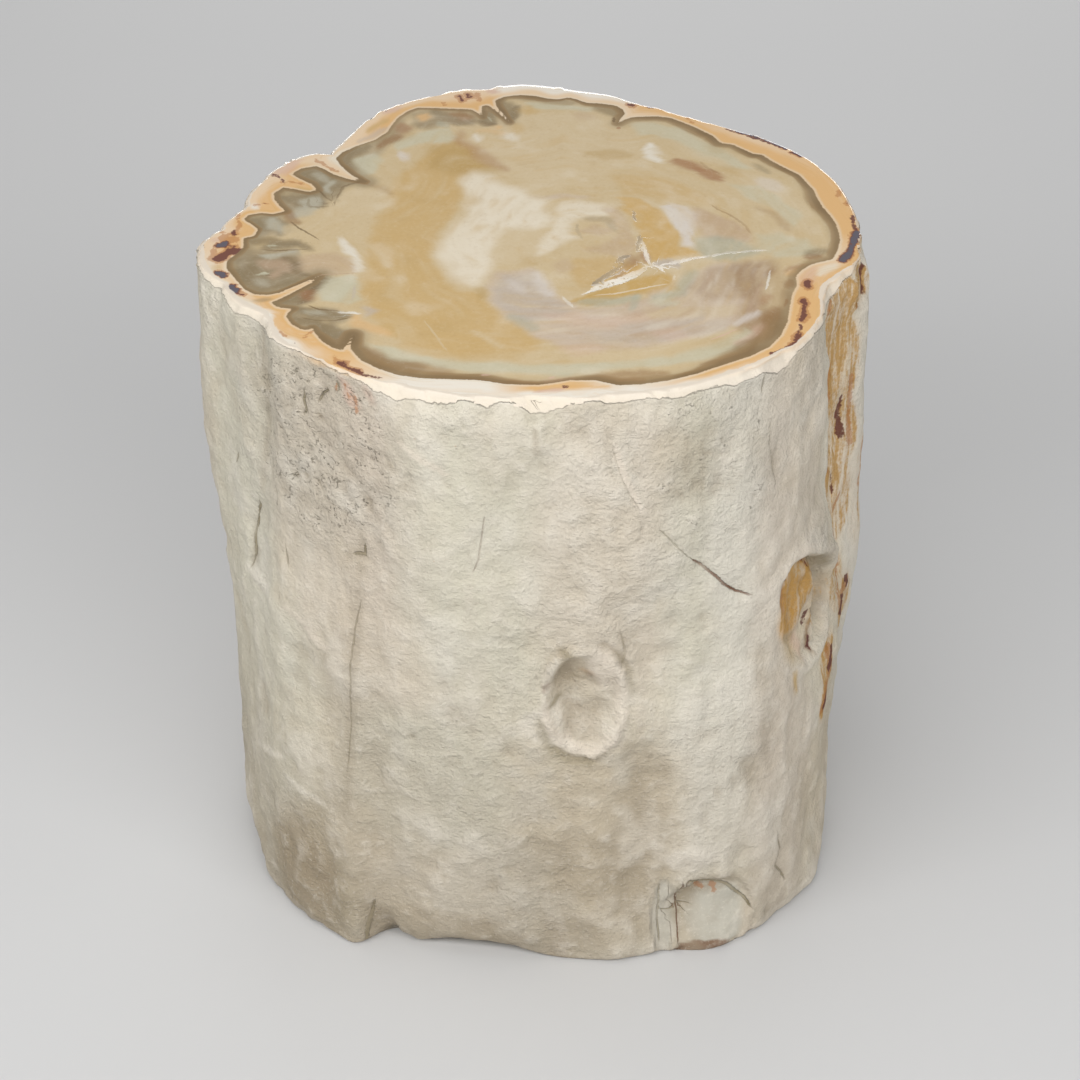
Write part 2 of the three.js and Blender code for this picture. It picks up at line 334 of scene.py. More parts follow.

# Lines in the rind: colour, half width, depth, strength, path of angle and height. The groove-coloured lines
# are painted shadow down narrow grooves.
rindLines = [
    ("groove", 0.10, 0.10, 0.30, [(283.7, 77.3), (284.3, 75.4), (285.4, 72.8), (286.8, 70.6),
        (288.4, 68.8)]),
    ("groove", 0.09, 0.10, 0.45, [(291.8, 65.8), (293.4, 64.4), (295.2, 62.7), (297.3, 61)]),
    ("umber", 0.17, 0.35, 0.85, [(297.3, 61), (299, 60), (301.9, 57.8), (303.6, 56.2), (305.7, 54.8),
        (308.8, 53.5)]),
    ("groove", 0.16, 0.45, 0.85, [(210.3, 58.1), (209.4, 55.4), (208.5, 52.6), (208.2, 49.4),
        (207.7, 47.2)]),
    ("groove", 0.16, 0.25, 0.8, [(203.9, 62.3), (203.4, 60.7)]),
    ("groove", 0.12, 0.2, 0.7, [(217.3, 62.6), (218, 60)]),
    ("groove", 0.10, 0.2, 0.5, [(220.6, 55.7), (221.4, 52.6)]),
    ("groove", 0.10, 0.2, 0.45, [(238.6, 53.3), (237.6, 50.4), (237.1, 48.2), (236.2, 43.2), (236.3, 40.4),
        (236, 38.6),
                                 (235.9, 34.6), (235.6, 31.8), (235.2, 25.7)]),
    ("groove", 0.2, 0.35, 0.9, [(239.6, 61.2), (239.2, 59.3), (238.2, 59.5), (237.1, 59.1)]),
    ("umber", 0.10, 0.08, 0.35, [(262, 68.4), (261.2, 64.3), (260.8, 62.1), (259.8, 60.2)]),
    ("groove", 0.14, 0.3, 0.8, [(226.7, 78.7), (226.2, 76.8), (226.5, 75.6), (226.1, 74.8)]),
    ("groove", 0.14, 0.3, 0.7, [(232.2, 79.8), (230.6, 78.8), (229.6, 77.4)]),
    ("groove", 0.14, 0.3, 0.7, [(234.3, 81.5), (234.5, 80.1)]),
    ("umber", 0.12, 0.25, 0.8, [(268.4, 83.2), (269.9, 82.8), (271.4, 81.8)]),
    ("groove", 0.12, 0.3, 0.7, [(316.4, 15.2), (317.9, 11.3), (316.7, 9.4), (318.4, 7.6), (319.7, 5.5)]),
    ("groove", 0.2, 0.3, 0.9, [(298.2, 12.2), (301.6, 11.7), (304.2, 10.9), (306.4, 9.9), (310.4, 6.4),
        (311.7, 4.3)]),
    ("umber", 0.13, 0.3, 0.8, [(298.2, 12), (297.8, 9), (298.3, 6), (298, 1)]),
    ("groove", 0.12, 0.25, 0.8, [(294.2, 7.4), (296.4, 7.0), (298.6, 7.3), (301, 6.8)]),
    ("groove", 0.12, 0.2, 0.6, [(294.3, 12), (294.1, 7), (294.6, 2)]),
    ("groove", 0.10, 0.1, 0.3, [(312.6, 76), (312.2, 73), (313.4, 70.4), (314.2, 66.5)]),
    ("groove", 0.10, 0.15, 0.5, [(311.6, 82), (311.2, 79.6)]),
    ("groove", 0.16, 0.3, 0.7, [(239.2, 7.5), (238.2, 4), (237.4, 0)]),
    ("groove", 0.14, 0.3, 0.8, [(322.4, 53.6), (327.2, 51.4), (330.4, 47.6), (332.2, 44.2)]),
    ("groove", 0.12, 0.2, 0.35, [(285.6, 52), (286.9, 48.6), (286.2, 46)]),
]

# Ridges standing out of the rind: half width, rise, path of angle and height
rindRidges = [
    (0.28, 0.22, [(246.6, 76.7), (250.7, 75.3), (253.6, 74.1), (255.8, 73.4)]),
    (0.32, 0.26, [(221.7, 47.1), (226, 46.4), (228.9, 44.9), (231.5, 44.5)]),
    (0.34, 0.24, [(210.7, 22.1), (215.6, 23.2), (220.9, 24.8)]), (0.3, 0.2, [(221.8, 22.2), (230, 20.7)]),
    (0.28, 0.16, [(220.3, 36.9), (224.6, 37)]), (0.5, 0.5, [(208.6, 46.6), (211, 47.2), (214.2, 47)]),
    (0.35, 0.22, [(283.9, 77.4), (284.8, 75.2), (286, 72.6), (287.6, 70.4), (289, 68.6)]),
    (0.5, 0.3, [(262.4, 21), (266.6, 20), (270, 21.4), (274.4, 20.4)]), (0.4, 0.25, [(265, 13),
        (270, 12.2), (275, 13.4)]),
    (0.5, 0.3, [(277, 17.6), (281, 16.4), (284.6, 17.2)]), (0.8, 0.55, [(296, 15.2), (299.2, 16.8),
        (303.6, 14.6)]),
    (0.5, 0.3, [(243, 27), (247, 26), (251.4, 27)]), (0.4, 0.2, [(253, 36), (258, 35), (262, 35.8)]),
    (0.5, 0.3, [(334.6, 79), (334.2, 70), (335.2, 60), (336.2, 54)]),
]

# Pits: angle, height, half width and depth
rindPits = [
    (225.7, 66.5, 0.4, 0.3), (228.6, 66.6, 0.35, 0.3), (231.3, 66.5, 0.4, 0.3), (235.1, 67.4, 0.4, 0.3),
    (237.2, 66.2, 0.5, 0.35), (226.2, 70.3, 0.35, 0.25), (233.9, 74.3, 0.4, 0.3), (241.6, 74.5, 0.4, 0.3),
    (248.8, 72.7, 0.3, 0.25), (251.3, 64.1, 0.35, 0.25), (245.3, 79, 0.35, 0.3), (300.3, 52.1, 0.55, 0.5),
    (301, 50.4, 0.4, 0.3), (273.2, 44.2, 0.45, 0.5), (275.4, 48.4, 0.4, 0.4), (273, 40.2, 0.5, 0.45),
    (268.6, 77.2, 0.25, 0.2), (269.8, 77.4, 0.22, 0.2), (258.6, 80.2, 0.3, 0.2), (231.6, 72.4, 0.5, 0.35),
    (235.8, 70.4, 0.4, 0.3), (229.4, 75.6, 0.5, 0.35), (222.4, 76.2, 0.4, 0.3), (243.8, 67.2, 0.4, 0.25),
    (318.6, 78.6, 0.4, 0.35), (317, 68.6, 0.3, 0.25), (255.4, 55, 0.4, 0.25), (263.4, 50.6, 0.4, 0.25),
]


# The front scar's outline: angle and height
ringOutline = [
    (273.7, 47.8), (271.8, 44.8), (271.4, 42.2), (272.2, 38.9), (274.3, 35.5), (277.9, 33.5), (282.4, 33.5),
    (285.6, 35.6), (287.2, 38.9), (287.7, 42.4), (286.9, 45.8), (284.3, 48.6), (280.3, 50), (276.8, 49.7),
]

# The right scar's outline
scarOutline = [
    (314.8, 50.5), (315.4, 53.2), (318.5, 54.6), (322.5, 54.4), (326.5, 52.6), (330.5, 50.6), (334.5, 48.6),
    (338, 46), (338.6, 43), (337.6, 40), (334.5, 37.4), (329.5, 36.4), (325, 36.8), (320, 39.4),
    (316.2, 44),
]


def rindSpots(angle, z):
    return np.column_stack([turned(angle, 270), z])


def rindPath(path):
    return [(turned(a, 270), b) for a, b in path]


def sculpt(piece):
    print("trunk: sculpting the rind")
    mesh = piece.data
    place = points(mesh) / mm
    place[:, :2] -= np.array(trunkAxis) / mm
    normals = np.empty(len(mesh.vertices) * 3)
    mesh.vertex_normals.foreach_get("vector", normals)
    normals = normals.reshape(-1, 3)
    angle = np.degrees(np.arctan2(place[:, 1], place[:, 0])) % 360
    radius = np.hypot(place[:, 0], place[:, 1])
    z = place[:, 2].copy()
    rimLine = radiusAt(points(mesh), height)
    upright = smooth(np.hypot(normals[:, 0], normals[:, 1]), 0.3, 0.8)
    fade = smooth(height - z, 0.3, 2.5) * smooth(z, 0.0, 1.2)
    tall = place * [1, 1, 0.55]
    fine = np.zeros(len(place))

    for n, (size, rise) in enumerate(relief["lumps"]):
        fine += rise * noise(tall, size, seed=n + 3)
    strands = place * [1, 1, 0.09]
    fine += relief["striation"] * noise(strands, 1.1, seed=11) * smooth(noise(tall, 14, seed=12), -0.4, 0.5)
    layers = noise(place * [1, 1, 0.7], 7, seed=21) + 0.45 * noise(place, 2.6, seed=22)
    steps = layers * 2.2
    fine += relief["plates"] * (np.floor(steps) + smooth(steps - np.floor(steps), 0.0, 0.18)) / 2
    pitting = smooth(noise(tall, 9, seed=32), -0.1, 0.45)
    crowded = oval(angle, z, 229, 72, 10, 10, 6) + 0.7 * oval(angle, z, 300, 72, 8, 8, 6)
    pitting = np.maximum(pitting * 0.6, np.minimum(crowded, 1))
    fine -= relief["pits"] * smooth(noise(place, 1.4, seed=31), 0.4, 0.8) * pitting
    spots = rindSpots(angle, z)
    for half, rise, path in rindRidges:
        distance, _, along = alongPath(spots + 0.25 * noise(place, 1.3, seed=35)[:, None], rindPath(path))
        lean = np.where(distance < half, 1 - distance / half * 0.5, np.maximum(0, 1.5 - distance / half))
        fine += rise * lean * np.sin(np.pi * np.clip(along, 0.08, 0.92))
    for at, level, half, depth in rindPits:
        away = np.hypot(turned(angle, at), (z - level) * 0.8) * (1 + 0.3 * noise(place, 0.8, seed=36))
        fine -= depth * bell(away / half)
    for name, half, depth, strength, path in rindLines:
        distance, _, along = alongPath(spots, rindPath(path))
        ends = smooth(along, 0, 0.12) * smooth(1 - along, 0, 0.12)
        fine -= depth * ends * bell(distance / (half + 0.25))
    forms = scarDetail(angle, z, place) + channelDetail(angle, z, place) + patchDetail(angle, z, place)
    notch = smooth(turned(angle, 238.6), -0.5, 0.4) * (1 - smooth(turned(angle, 242.4), -1.2, 0.8))
    forms -= 1.0 * notch * (1 - smooth(z, 2.5, 7.5))
    chips = smooth(noise(place * [1, 1, 0], 1.8, seed=38), 0.15, 0.7) * (1 - smooth(z, 0.4, 1.5))
    smoothPatch = oval(angle, z, 304, 5, 4.6, 6, 0.8) + oval(angle, z, 295.2, 6, 1.3, 6, 0.4)
    smoothPatch = np.minimum(smoothPatch, 1)
    pitting = pitting * (1 - smoothPatch) - smoothPatch
    fine = fine * (1 - 0.8 * smoothPatch)
    radius = radius + (fine * fade + forms * smooth(height - z, 0.2, 2.5)) * upright - 0.35 * chips * upright

    # the rim: steps of its outline, then the scooped pale face of the broken edge
    nearRim = 1 - smooth(height - z, 1.5, 7)
    rim = rimLine(angle)
    for first, last, out, sharp in rimSteps:
        middle, half = (first + last) / 2, np.radians(last - first) * meanRadius / 2
        share = 1 - smooth(abs(turned(angle, middle)), half - sharp / 2, half + sharp / 2)
        share *= smooth(turned(angle, middle) / half, -1.3, 0.2) if out > 0.4 else 1
        rim = rim + out * share
        radius = radius + out * share * nearRim * upright
    flat = place * [1, 1, 0]
    wobble = 0.30 * noise(flat, 2.0, seed=41) + 0.25 * noise(flat, 0.9, seed=42)
    inset = byAngle(angle, brokenEdge) * (1 + wobble)
    depth = byAngle(angle, brokenEdge, 2) * (1 + 0.8 * wobble) + 0.12 * noise(flat, 0.8, seed=43)
    depth = np.maximum(depth, 0.15)
    down = (height - z) / depth
    inFace = (z > height - 3.2) & (down > -0.2) & (down < 1) & (radius > rim - 3)
    scoop = rim - inset * (1 - np.clip(down, 0, 1) ** 1.8)
    radius = np.where(inFace, np.minimum(radius, scoop), radius)
    lip = bell((down - 1.12) * depth / 0.3) * (depth > 0.45) * 0.16
    radius = radius + lip * (z > height - 3.6)
    beyond = radius - (rim - inset)
    onCut = (z > height - 1.0) & (beyond <= 0)
    z = np.where(onCut, height, z)

    z = np.maximum(z, 0)
    place[:, 0] = radius * np.cos(np.radians(angle))
    place[:, 1] = radius * np.sin(np.radians(angle))
    place[:, 2] = z
    place[:, :2] += np.array(trunkAxis) / mm
    mesh.vertices.foreach_set("co", (place * mm).ravel())
    mesh.update()
    return beyond, -(fine + 0.6 * forms) * upright, depth, pitting


def scarDetail(angle, z, place):
    # front scar: a rough dish inside a beaded lip, sunk at its upper left, with a smooth lens at its right
    inside = insideRing(angle, z, place)
    beads = 0.75 + 0.7 * noise(place, 1.4, seed=52)
    lean = 0.55 + 0.45 * smooth(turned(angle, 279.5) - (z - 42), -4, 3)
    lip = 0.7 * bell((inside - 0.6) / 0.5) * beads * lean - 0.3 * bell((inside + 0.35) / 0.3)
    bowl = smooth(inside, 1.0, 2.0)
    recess = 0.9 * bell(turned(angle, 275.8) / 2.0) * bell((z - 45.0) / 3.2)
    lens = 0.9 * bell(turned(angle, 283.4) / 1.9) * bell((z - 45.6) / 3.2)
    fibres = 0.3 * noise(place * [1.6, 1.6, 0.2], 1, seed=53) * (1 - smooth(z, 42, 45))
    change = lip + bowl * (lens - recess - 0.35 + fibres + 0.22 * noise(place, 0.9, seed=54))
    # right scar: a hollow that slopes in gently from the left, under a crisp arch, lumpy along its middle
    inside = insideScar(angle, z, place)
    wall = np.interp(angle, [306, 318, 324, 330, 336, 342], [39.9, 40.5, 40.4, 39.9, 39.3, 39.0])
    wall += 0.25 * noise(place, 3.0, seed=57)
    deeper = np.interp(angle, [316, 324, 332, 336, 340], [0.1, 0.9, 1.7, 1.6, 0.6])
    sink = 0.5 * smooth(inside, 0, 0.8) + deeper
    sink *= smooth(inside, -0.2, 1.4)
    recess = 0.8 * bell(turned(angle, 333) / 2.2) * bell((z - 47) / 2.6) * smooth(inside, 0, 1)
    ridge = 0.9 * bell(turned(angle, 327.5 + (44 - z) * 0.35) / 1.1) * smooth(inside, 0.6, 2)
    lumps = 0.45 * noise(place * [1, 1, 0.45], 1.6, seed=55) + 0.2 * noise(place, 0.9, seed=58)
    lumps = lumps * smooth(inside, 0.2, 1.2)
    target = wall - sink - recess + ridge + lumps + 0.3 * bell((inside + 0.35) / 0.4) * smooth(z, 44, 50)
    share = smooth(inside, -2.6, -0.8) * smooth(angle, 309, 313) * (1 - smooth(angle, 338.5, 341))
    change += share * (target - np.hypot(place[:, 0], place[:, 1]))
    # back scar
    across, up = turned(angle, 118) / 5.8, (z - 28) / 6.8
    away = np.hypot(across, up)
    bowl = 1 - smooth(away, 0.55, 0.95)
    change += 0.4 * bell((away - 1) / 0.14) + 0.35 * bowl * noise(place, 1.4, seed=56)
    return change


def insideRing(angle, z, place):  # millimetres inside the front scar's outline
    spots = rindSpots(angle, z) + 0.25 * noise(place, 1.8, seed=51)[:, None]
    return insideOutline(spots, rindPath(ringOutline))


def insideScar(angle, z, place):  # millimetres inside the right scar's outline
    spots = rindSpots(angle, z) + 0.3 * noise(place, 2.2, seed=59)[:, None]
    return insideOutline(spots, rindPath(scarOutline))


channelMiddle = [(0, 342), (12, 342), (22, 343), (36, 343.5), (48, 342.5), (60, 341.5), (76, 341), (83, 341)]


def channelAcross(angle, z):  # millimetres from the stained channel's middle line
    return turned(angle, np.interp(z, *zip(*channelMiddle)))


def channelDetail(angle, z, place):
    across = channelAcross(angle, z)
    inside = (1 - smooth(abs(across), 2.9, 3.9)) * smooth(z, 20, 34)
    strands = 0.35 * noise(place * [1, 1, 0.09], 0.9, seed=61) + 0.18 * noise(place, 1.2, seed=62)
    wall = 0.35 * bell((abs(across) - 4.1) / 0.45) * smooth(z, 40, 52)
    pocket = 1 - smooth(np.hypot(turned(angle, 351) / 1.8, (z - 79.3) / 2.9), 0.75, 1.05)
    return inside * strands + wall * (0.6 + 0.4 * noise(place * [1, 1, 0.3], 3, seed=63)) - 1.1 * pocket


def patchDetail(angle, z, place):
    across, up = turned(angle, 303) / 7.0, np.maximum(0, z - 3.4) / 8.6
    away = np.hypot(across, up) * (1 + 0.06 * noise(place, 3.0, seed=71))
    inside = 1 - smooth(away, 0.88, 0.98)
    lip = 0.35 * bell((away - 1.03) / 0.06) * smooth(up, 0.3, 0.8)
    block = smooth(turned(angle, 297.9), -0.15, 0.15) * 0.5 - smooth(turned(angle, 301.6), -0.2, 0.2) * 0.45
    split = smooth(z + 0.4 * turned(angle, 298), 6.9, 7.2)
    split = split * (1 - smooth(turned(angle, 301.6), -0.2, 0.2)) * 0.35
    rough = 0.16 * noise(place, 1.6, seed=72) + 0.1 * noise(place, 0.9, seed=73)
    return lip + inside * (-0.15 - block - split + rough)


def oval(angle, z, at, level, wide, tall, soft):  # 1 inside, fading to 0 outside
    away = np.hypot(turned(angle, at) / (wide + soft / 2), (z - level) / (tall + soft / 2))
    spread = soft / (wide + soft / 2)
    return 1 - smooth(away, 1 - spread / 2, 1 + spread / 2)


# Painting

# Inner edge of the rind band on the polished cut, from the right round by the back
innerEdge = [
    (35.9, 0), (35.7, 2), (35.2, 4), (34.5, 5.8), (34, 8), (33.7, 10), (32.9, 12), (32.3, 13.6),
    (30.6, 15.4), (29, 17.3), (28.1, 18.7), (27, 18.9), (24.6, 21.3), (23.2, 21.6), (22.2, 23.6),
    (19.8, 26.1), (17.2, 28.2), (15.5, 28.6), (13.6, 28.5), (12.3, 28.3), (11.5, 27.7), (10.7, 26.7),
    (11, 28), (11.6, 29.2), (11.3, 30.5), (10.4, 31.5), (8.5, 32), (6.8, 32.2), (5.6, 33.1), (4.6, 33.6),
    (3.3, 33.1), (2, 33.3), (0.5, 34), (-1.5, 34.3), (-3.4, 33.9), (-4.7, 32.8), (-4.4, 31), (-3.6, 29.2),
    (-2.75, 27), (-3.7, 28.5), (-4.6, 30.2), (-5.6, 31.6), (-6.3, 31.3), (-6.3, 29.8), (-6.15, 28.3),
    (-6.7, 29.4), (-7.6, 30.4), (-10, 30.6), (-12.3, 30.8), (-14.3, 30.9), (-15.5, 30), (-16.6, 28.4),
    (-17.3, 26.6), (-17.9, 24.4), (-19.3, 22.5), (-21.6, 20.8), (-23.2, 19.3), (-23.9, 17.8), (-23.2, 16),
    (-21.8, 13.7), (-20, 11.9), (-22, 12.6), (-24, 13.9), (-25, 15), (-26.2, 15.9), (-28, 15.2),
    (-29, 13.9), (-27.8, 12.6), (-26.4, 11.4), (-25.7, 10), (-26.6, 9.5), (-28.4, 10.2), (-29.8, 10.6),
    (-30.8, 9.2), (-30.6, 7.6), (-29.9, 6.2), (-29.1, 4.9), (-30.6, 4.2), (-32, 4.5), (-33.4, 4),
    (-33.9, 2.9), (-32.8, 1.7), (-32, 0.6), (-32.4, -0.9), (-33.6, -1.4), (-33.4, -3.4), (-34, -4.8),
    (-35.1, -6.6), (-35, -8.2), (-33.8, -10.5), (-32.6, -12.8), (-31.4, -13.9), (-29.9, -14.1),
    (-28.5, -13.6), (-27.4, -12.6), (-25.6, -11.1), (-24.2, -9.8), (-25, -11.4), (-26.8, -13.3),
    (-28.2, -14.8), (-29.3, -15.7), (-28.6, -16.7), (-27.4, -17), (-26.7, -17.1), (-27.3, -17.9),
    (-27.4, -18.8), (-26.8, -20.2), (-25.7, -21.3), (-24.8, -21.6), (-24.35, -20.9), (-24, -22.2),
    (-23, -24), (-21.9, -25.2), (-20.8, -25.8), (-20.3, -24.6), (-19.8, -22.5), (-19.9, -25.4),
    (-18.6, -27.8), (-16.6, -29.5), (-14.6, -30.7), (-12, -31.4), (-8.5, -31.6), (-5.5, -31.8), (-3, -32.5),
    (-1, -32.7), (1, -32.7), (2.6, -32.3), (4.2, -31.8), (7, -31.8), (9.4, -32.8), (12, -32.6), (15, -31.8),
    (18, -30.5), (21, -28.7), (24, -27), (26.3, -25), (27.7, -22.6), (28.6, -19.8), (29.1, -16.5),
    (29.5, -14), (30.2, -12), (30.2, -10), (31, -8.6), (32.2, -7.3), (34.7, -6.2), (35.5, -4), (35.9, -2),
]

# Colours of the rind band on the cut: angle, beside the inner edge, at the rim
bandColours = [
    (0, "orange", "orange"), (20, "orange", "orange"), (40, "orange", "peach"), (58, "orange", "orange"),
    (66, "peach", "orange"), (72, "peach", "chalk"), (86, "peach", "chalk"), (96, "peach", "chalk"),
    (99, "orange", "peach"), (106, "orange", "peach"), (112, "orange", "peach"), (126, "orange", "peach"),
    (136, "peach", "peach"), (144, "cream", "peach"), (152, "orange", "peach"), (166, "orange", "peach"),
    (178, "orange", "peach"), (186, "orange", "peach"), (194, "peach", "cream"), (204, "orange", "cream"),
    (212, "orange", "chalk"), (222, "orange", "chalk"), (232, "orange", "orange"), (240, "peach", "peach"),
    (246, "chalk", "chalk"), (262, "chalk", "chalk"), (270, "orange", "chalk"), (278, "orange", "chalk"),
    (288, "chalk", "chalk"), (302, "orange", "chalk"), (314, "orange", "orange"), (340, "orange", "orange"),
    (351, "peach", "orange"), (360, "orange", "orange"),
]

# The dark line inside the band: angle, width, strength, how far a soft shade reaches in and its strength
edgeLine = [
    (0, 1.1, 0.95, 1.8, 0.4), (30, 1.2, 0.9, 1.8, 0.4), (60, 1.2, 0.85, 2.0, 0.4), (68, 1.0, 0.9, 1.8, 0.5),
    (75, 0.8, 0.75, 1.6, 0.4), (95, 0.9, 0.8, 1.8, 0.5), (110, 0.8, 0.7, 2.2, 0.5),
    (120, 0.7, 0.5, 1.8, 0.4),
    (135, 0.6, 0.5, 1.8, 0.5), (142, 0.7, 0.8, 2.4, 0.75), (205, 0.7, 0.8, 2.6, 0.8),
    (215, 0.5, 0.7, 2.2, 0.6),
    (225, 0.9, 0.75, 2.6, 0.8), (240, 1.3, 0.8, 2.8, 0.75), (255, 1.2, 0.85, 2.2, 0.5),
    (270, 1.1, 0.85, 1.8, 0.3),
    (280, 1.0, 0.8, 1.6, 0.3), (290, 1.2, 0.85, 1.8, 0.35), (300, 1.3, 0.9, 2.2, 0.4),
    (312, 2.0, 0.75, 3.4, 0.6),
    (325, 2.2, 0.55, 4.0, 0.5), (338, 1.4, 0.5, 2.6, 0.4), (346, 0.8, 0.6, 1.6, 0.4),
    (360, 1.1, 0.95, 1.8, 0.4),
]

# How wide the white crust is on the polish, below 0 where there is none: angle, width
crustWidth = [
    (0, -0.4), (66, -0.4), (69, 0.5), (97, 0.5), (98.5, -0.4), (112, -0.3), (120, 0.2), (140, 0.35),
    (150, 0.4),
    (175, 0.3), (186, 0.5), (192, 0.8), (200, 0.6), (206, 0.9), (212, 0.8), (218, 0.9), (224, 0.45),
    (230, 0.3),
    (236, 0.2), (240, 0.15), (244, 0.6), (262, 0.8), (270, 0.6), (276, 0.35), (284, 0.7), (296, 0.9),
    (310, 0.7),
    (318, 0.25), (330, 0.3), (338, 0.8), (348, 0.7), (352, -0.1), (360, -0.4),
]

# The wood's rings run round the pith: its place, how many rings of streaks, and how short the streaks are
pith = (7.4, 0.8)
ringCount = 26
ringRun = 4.5

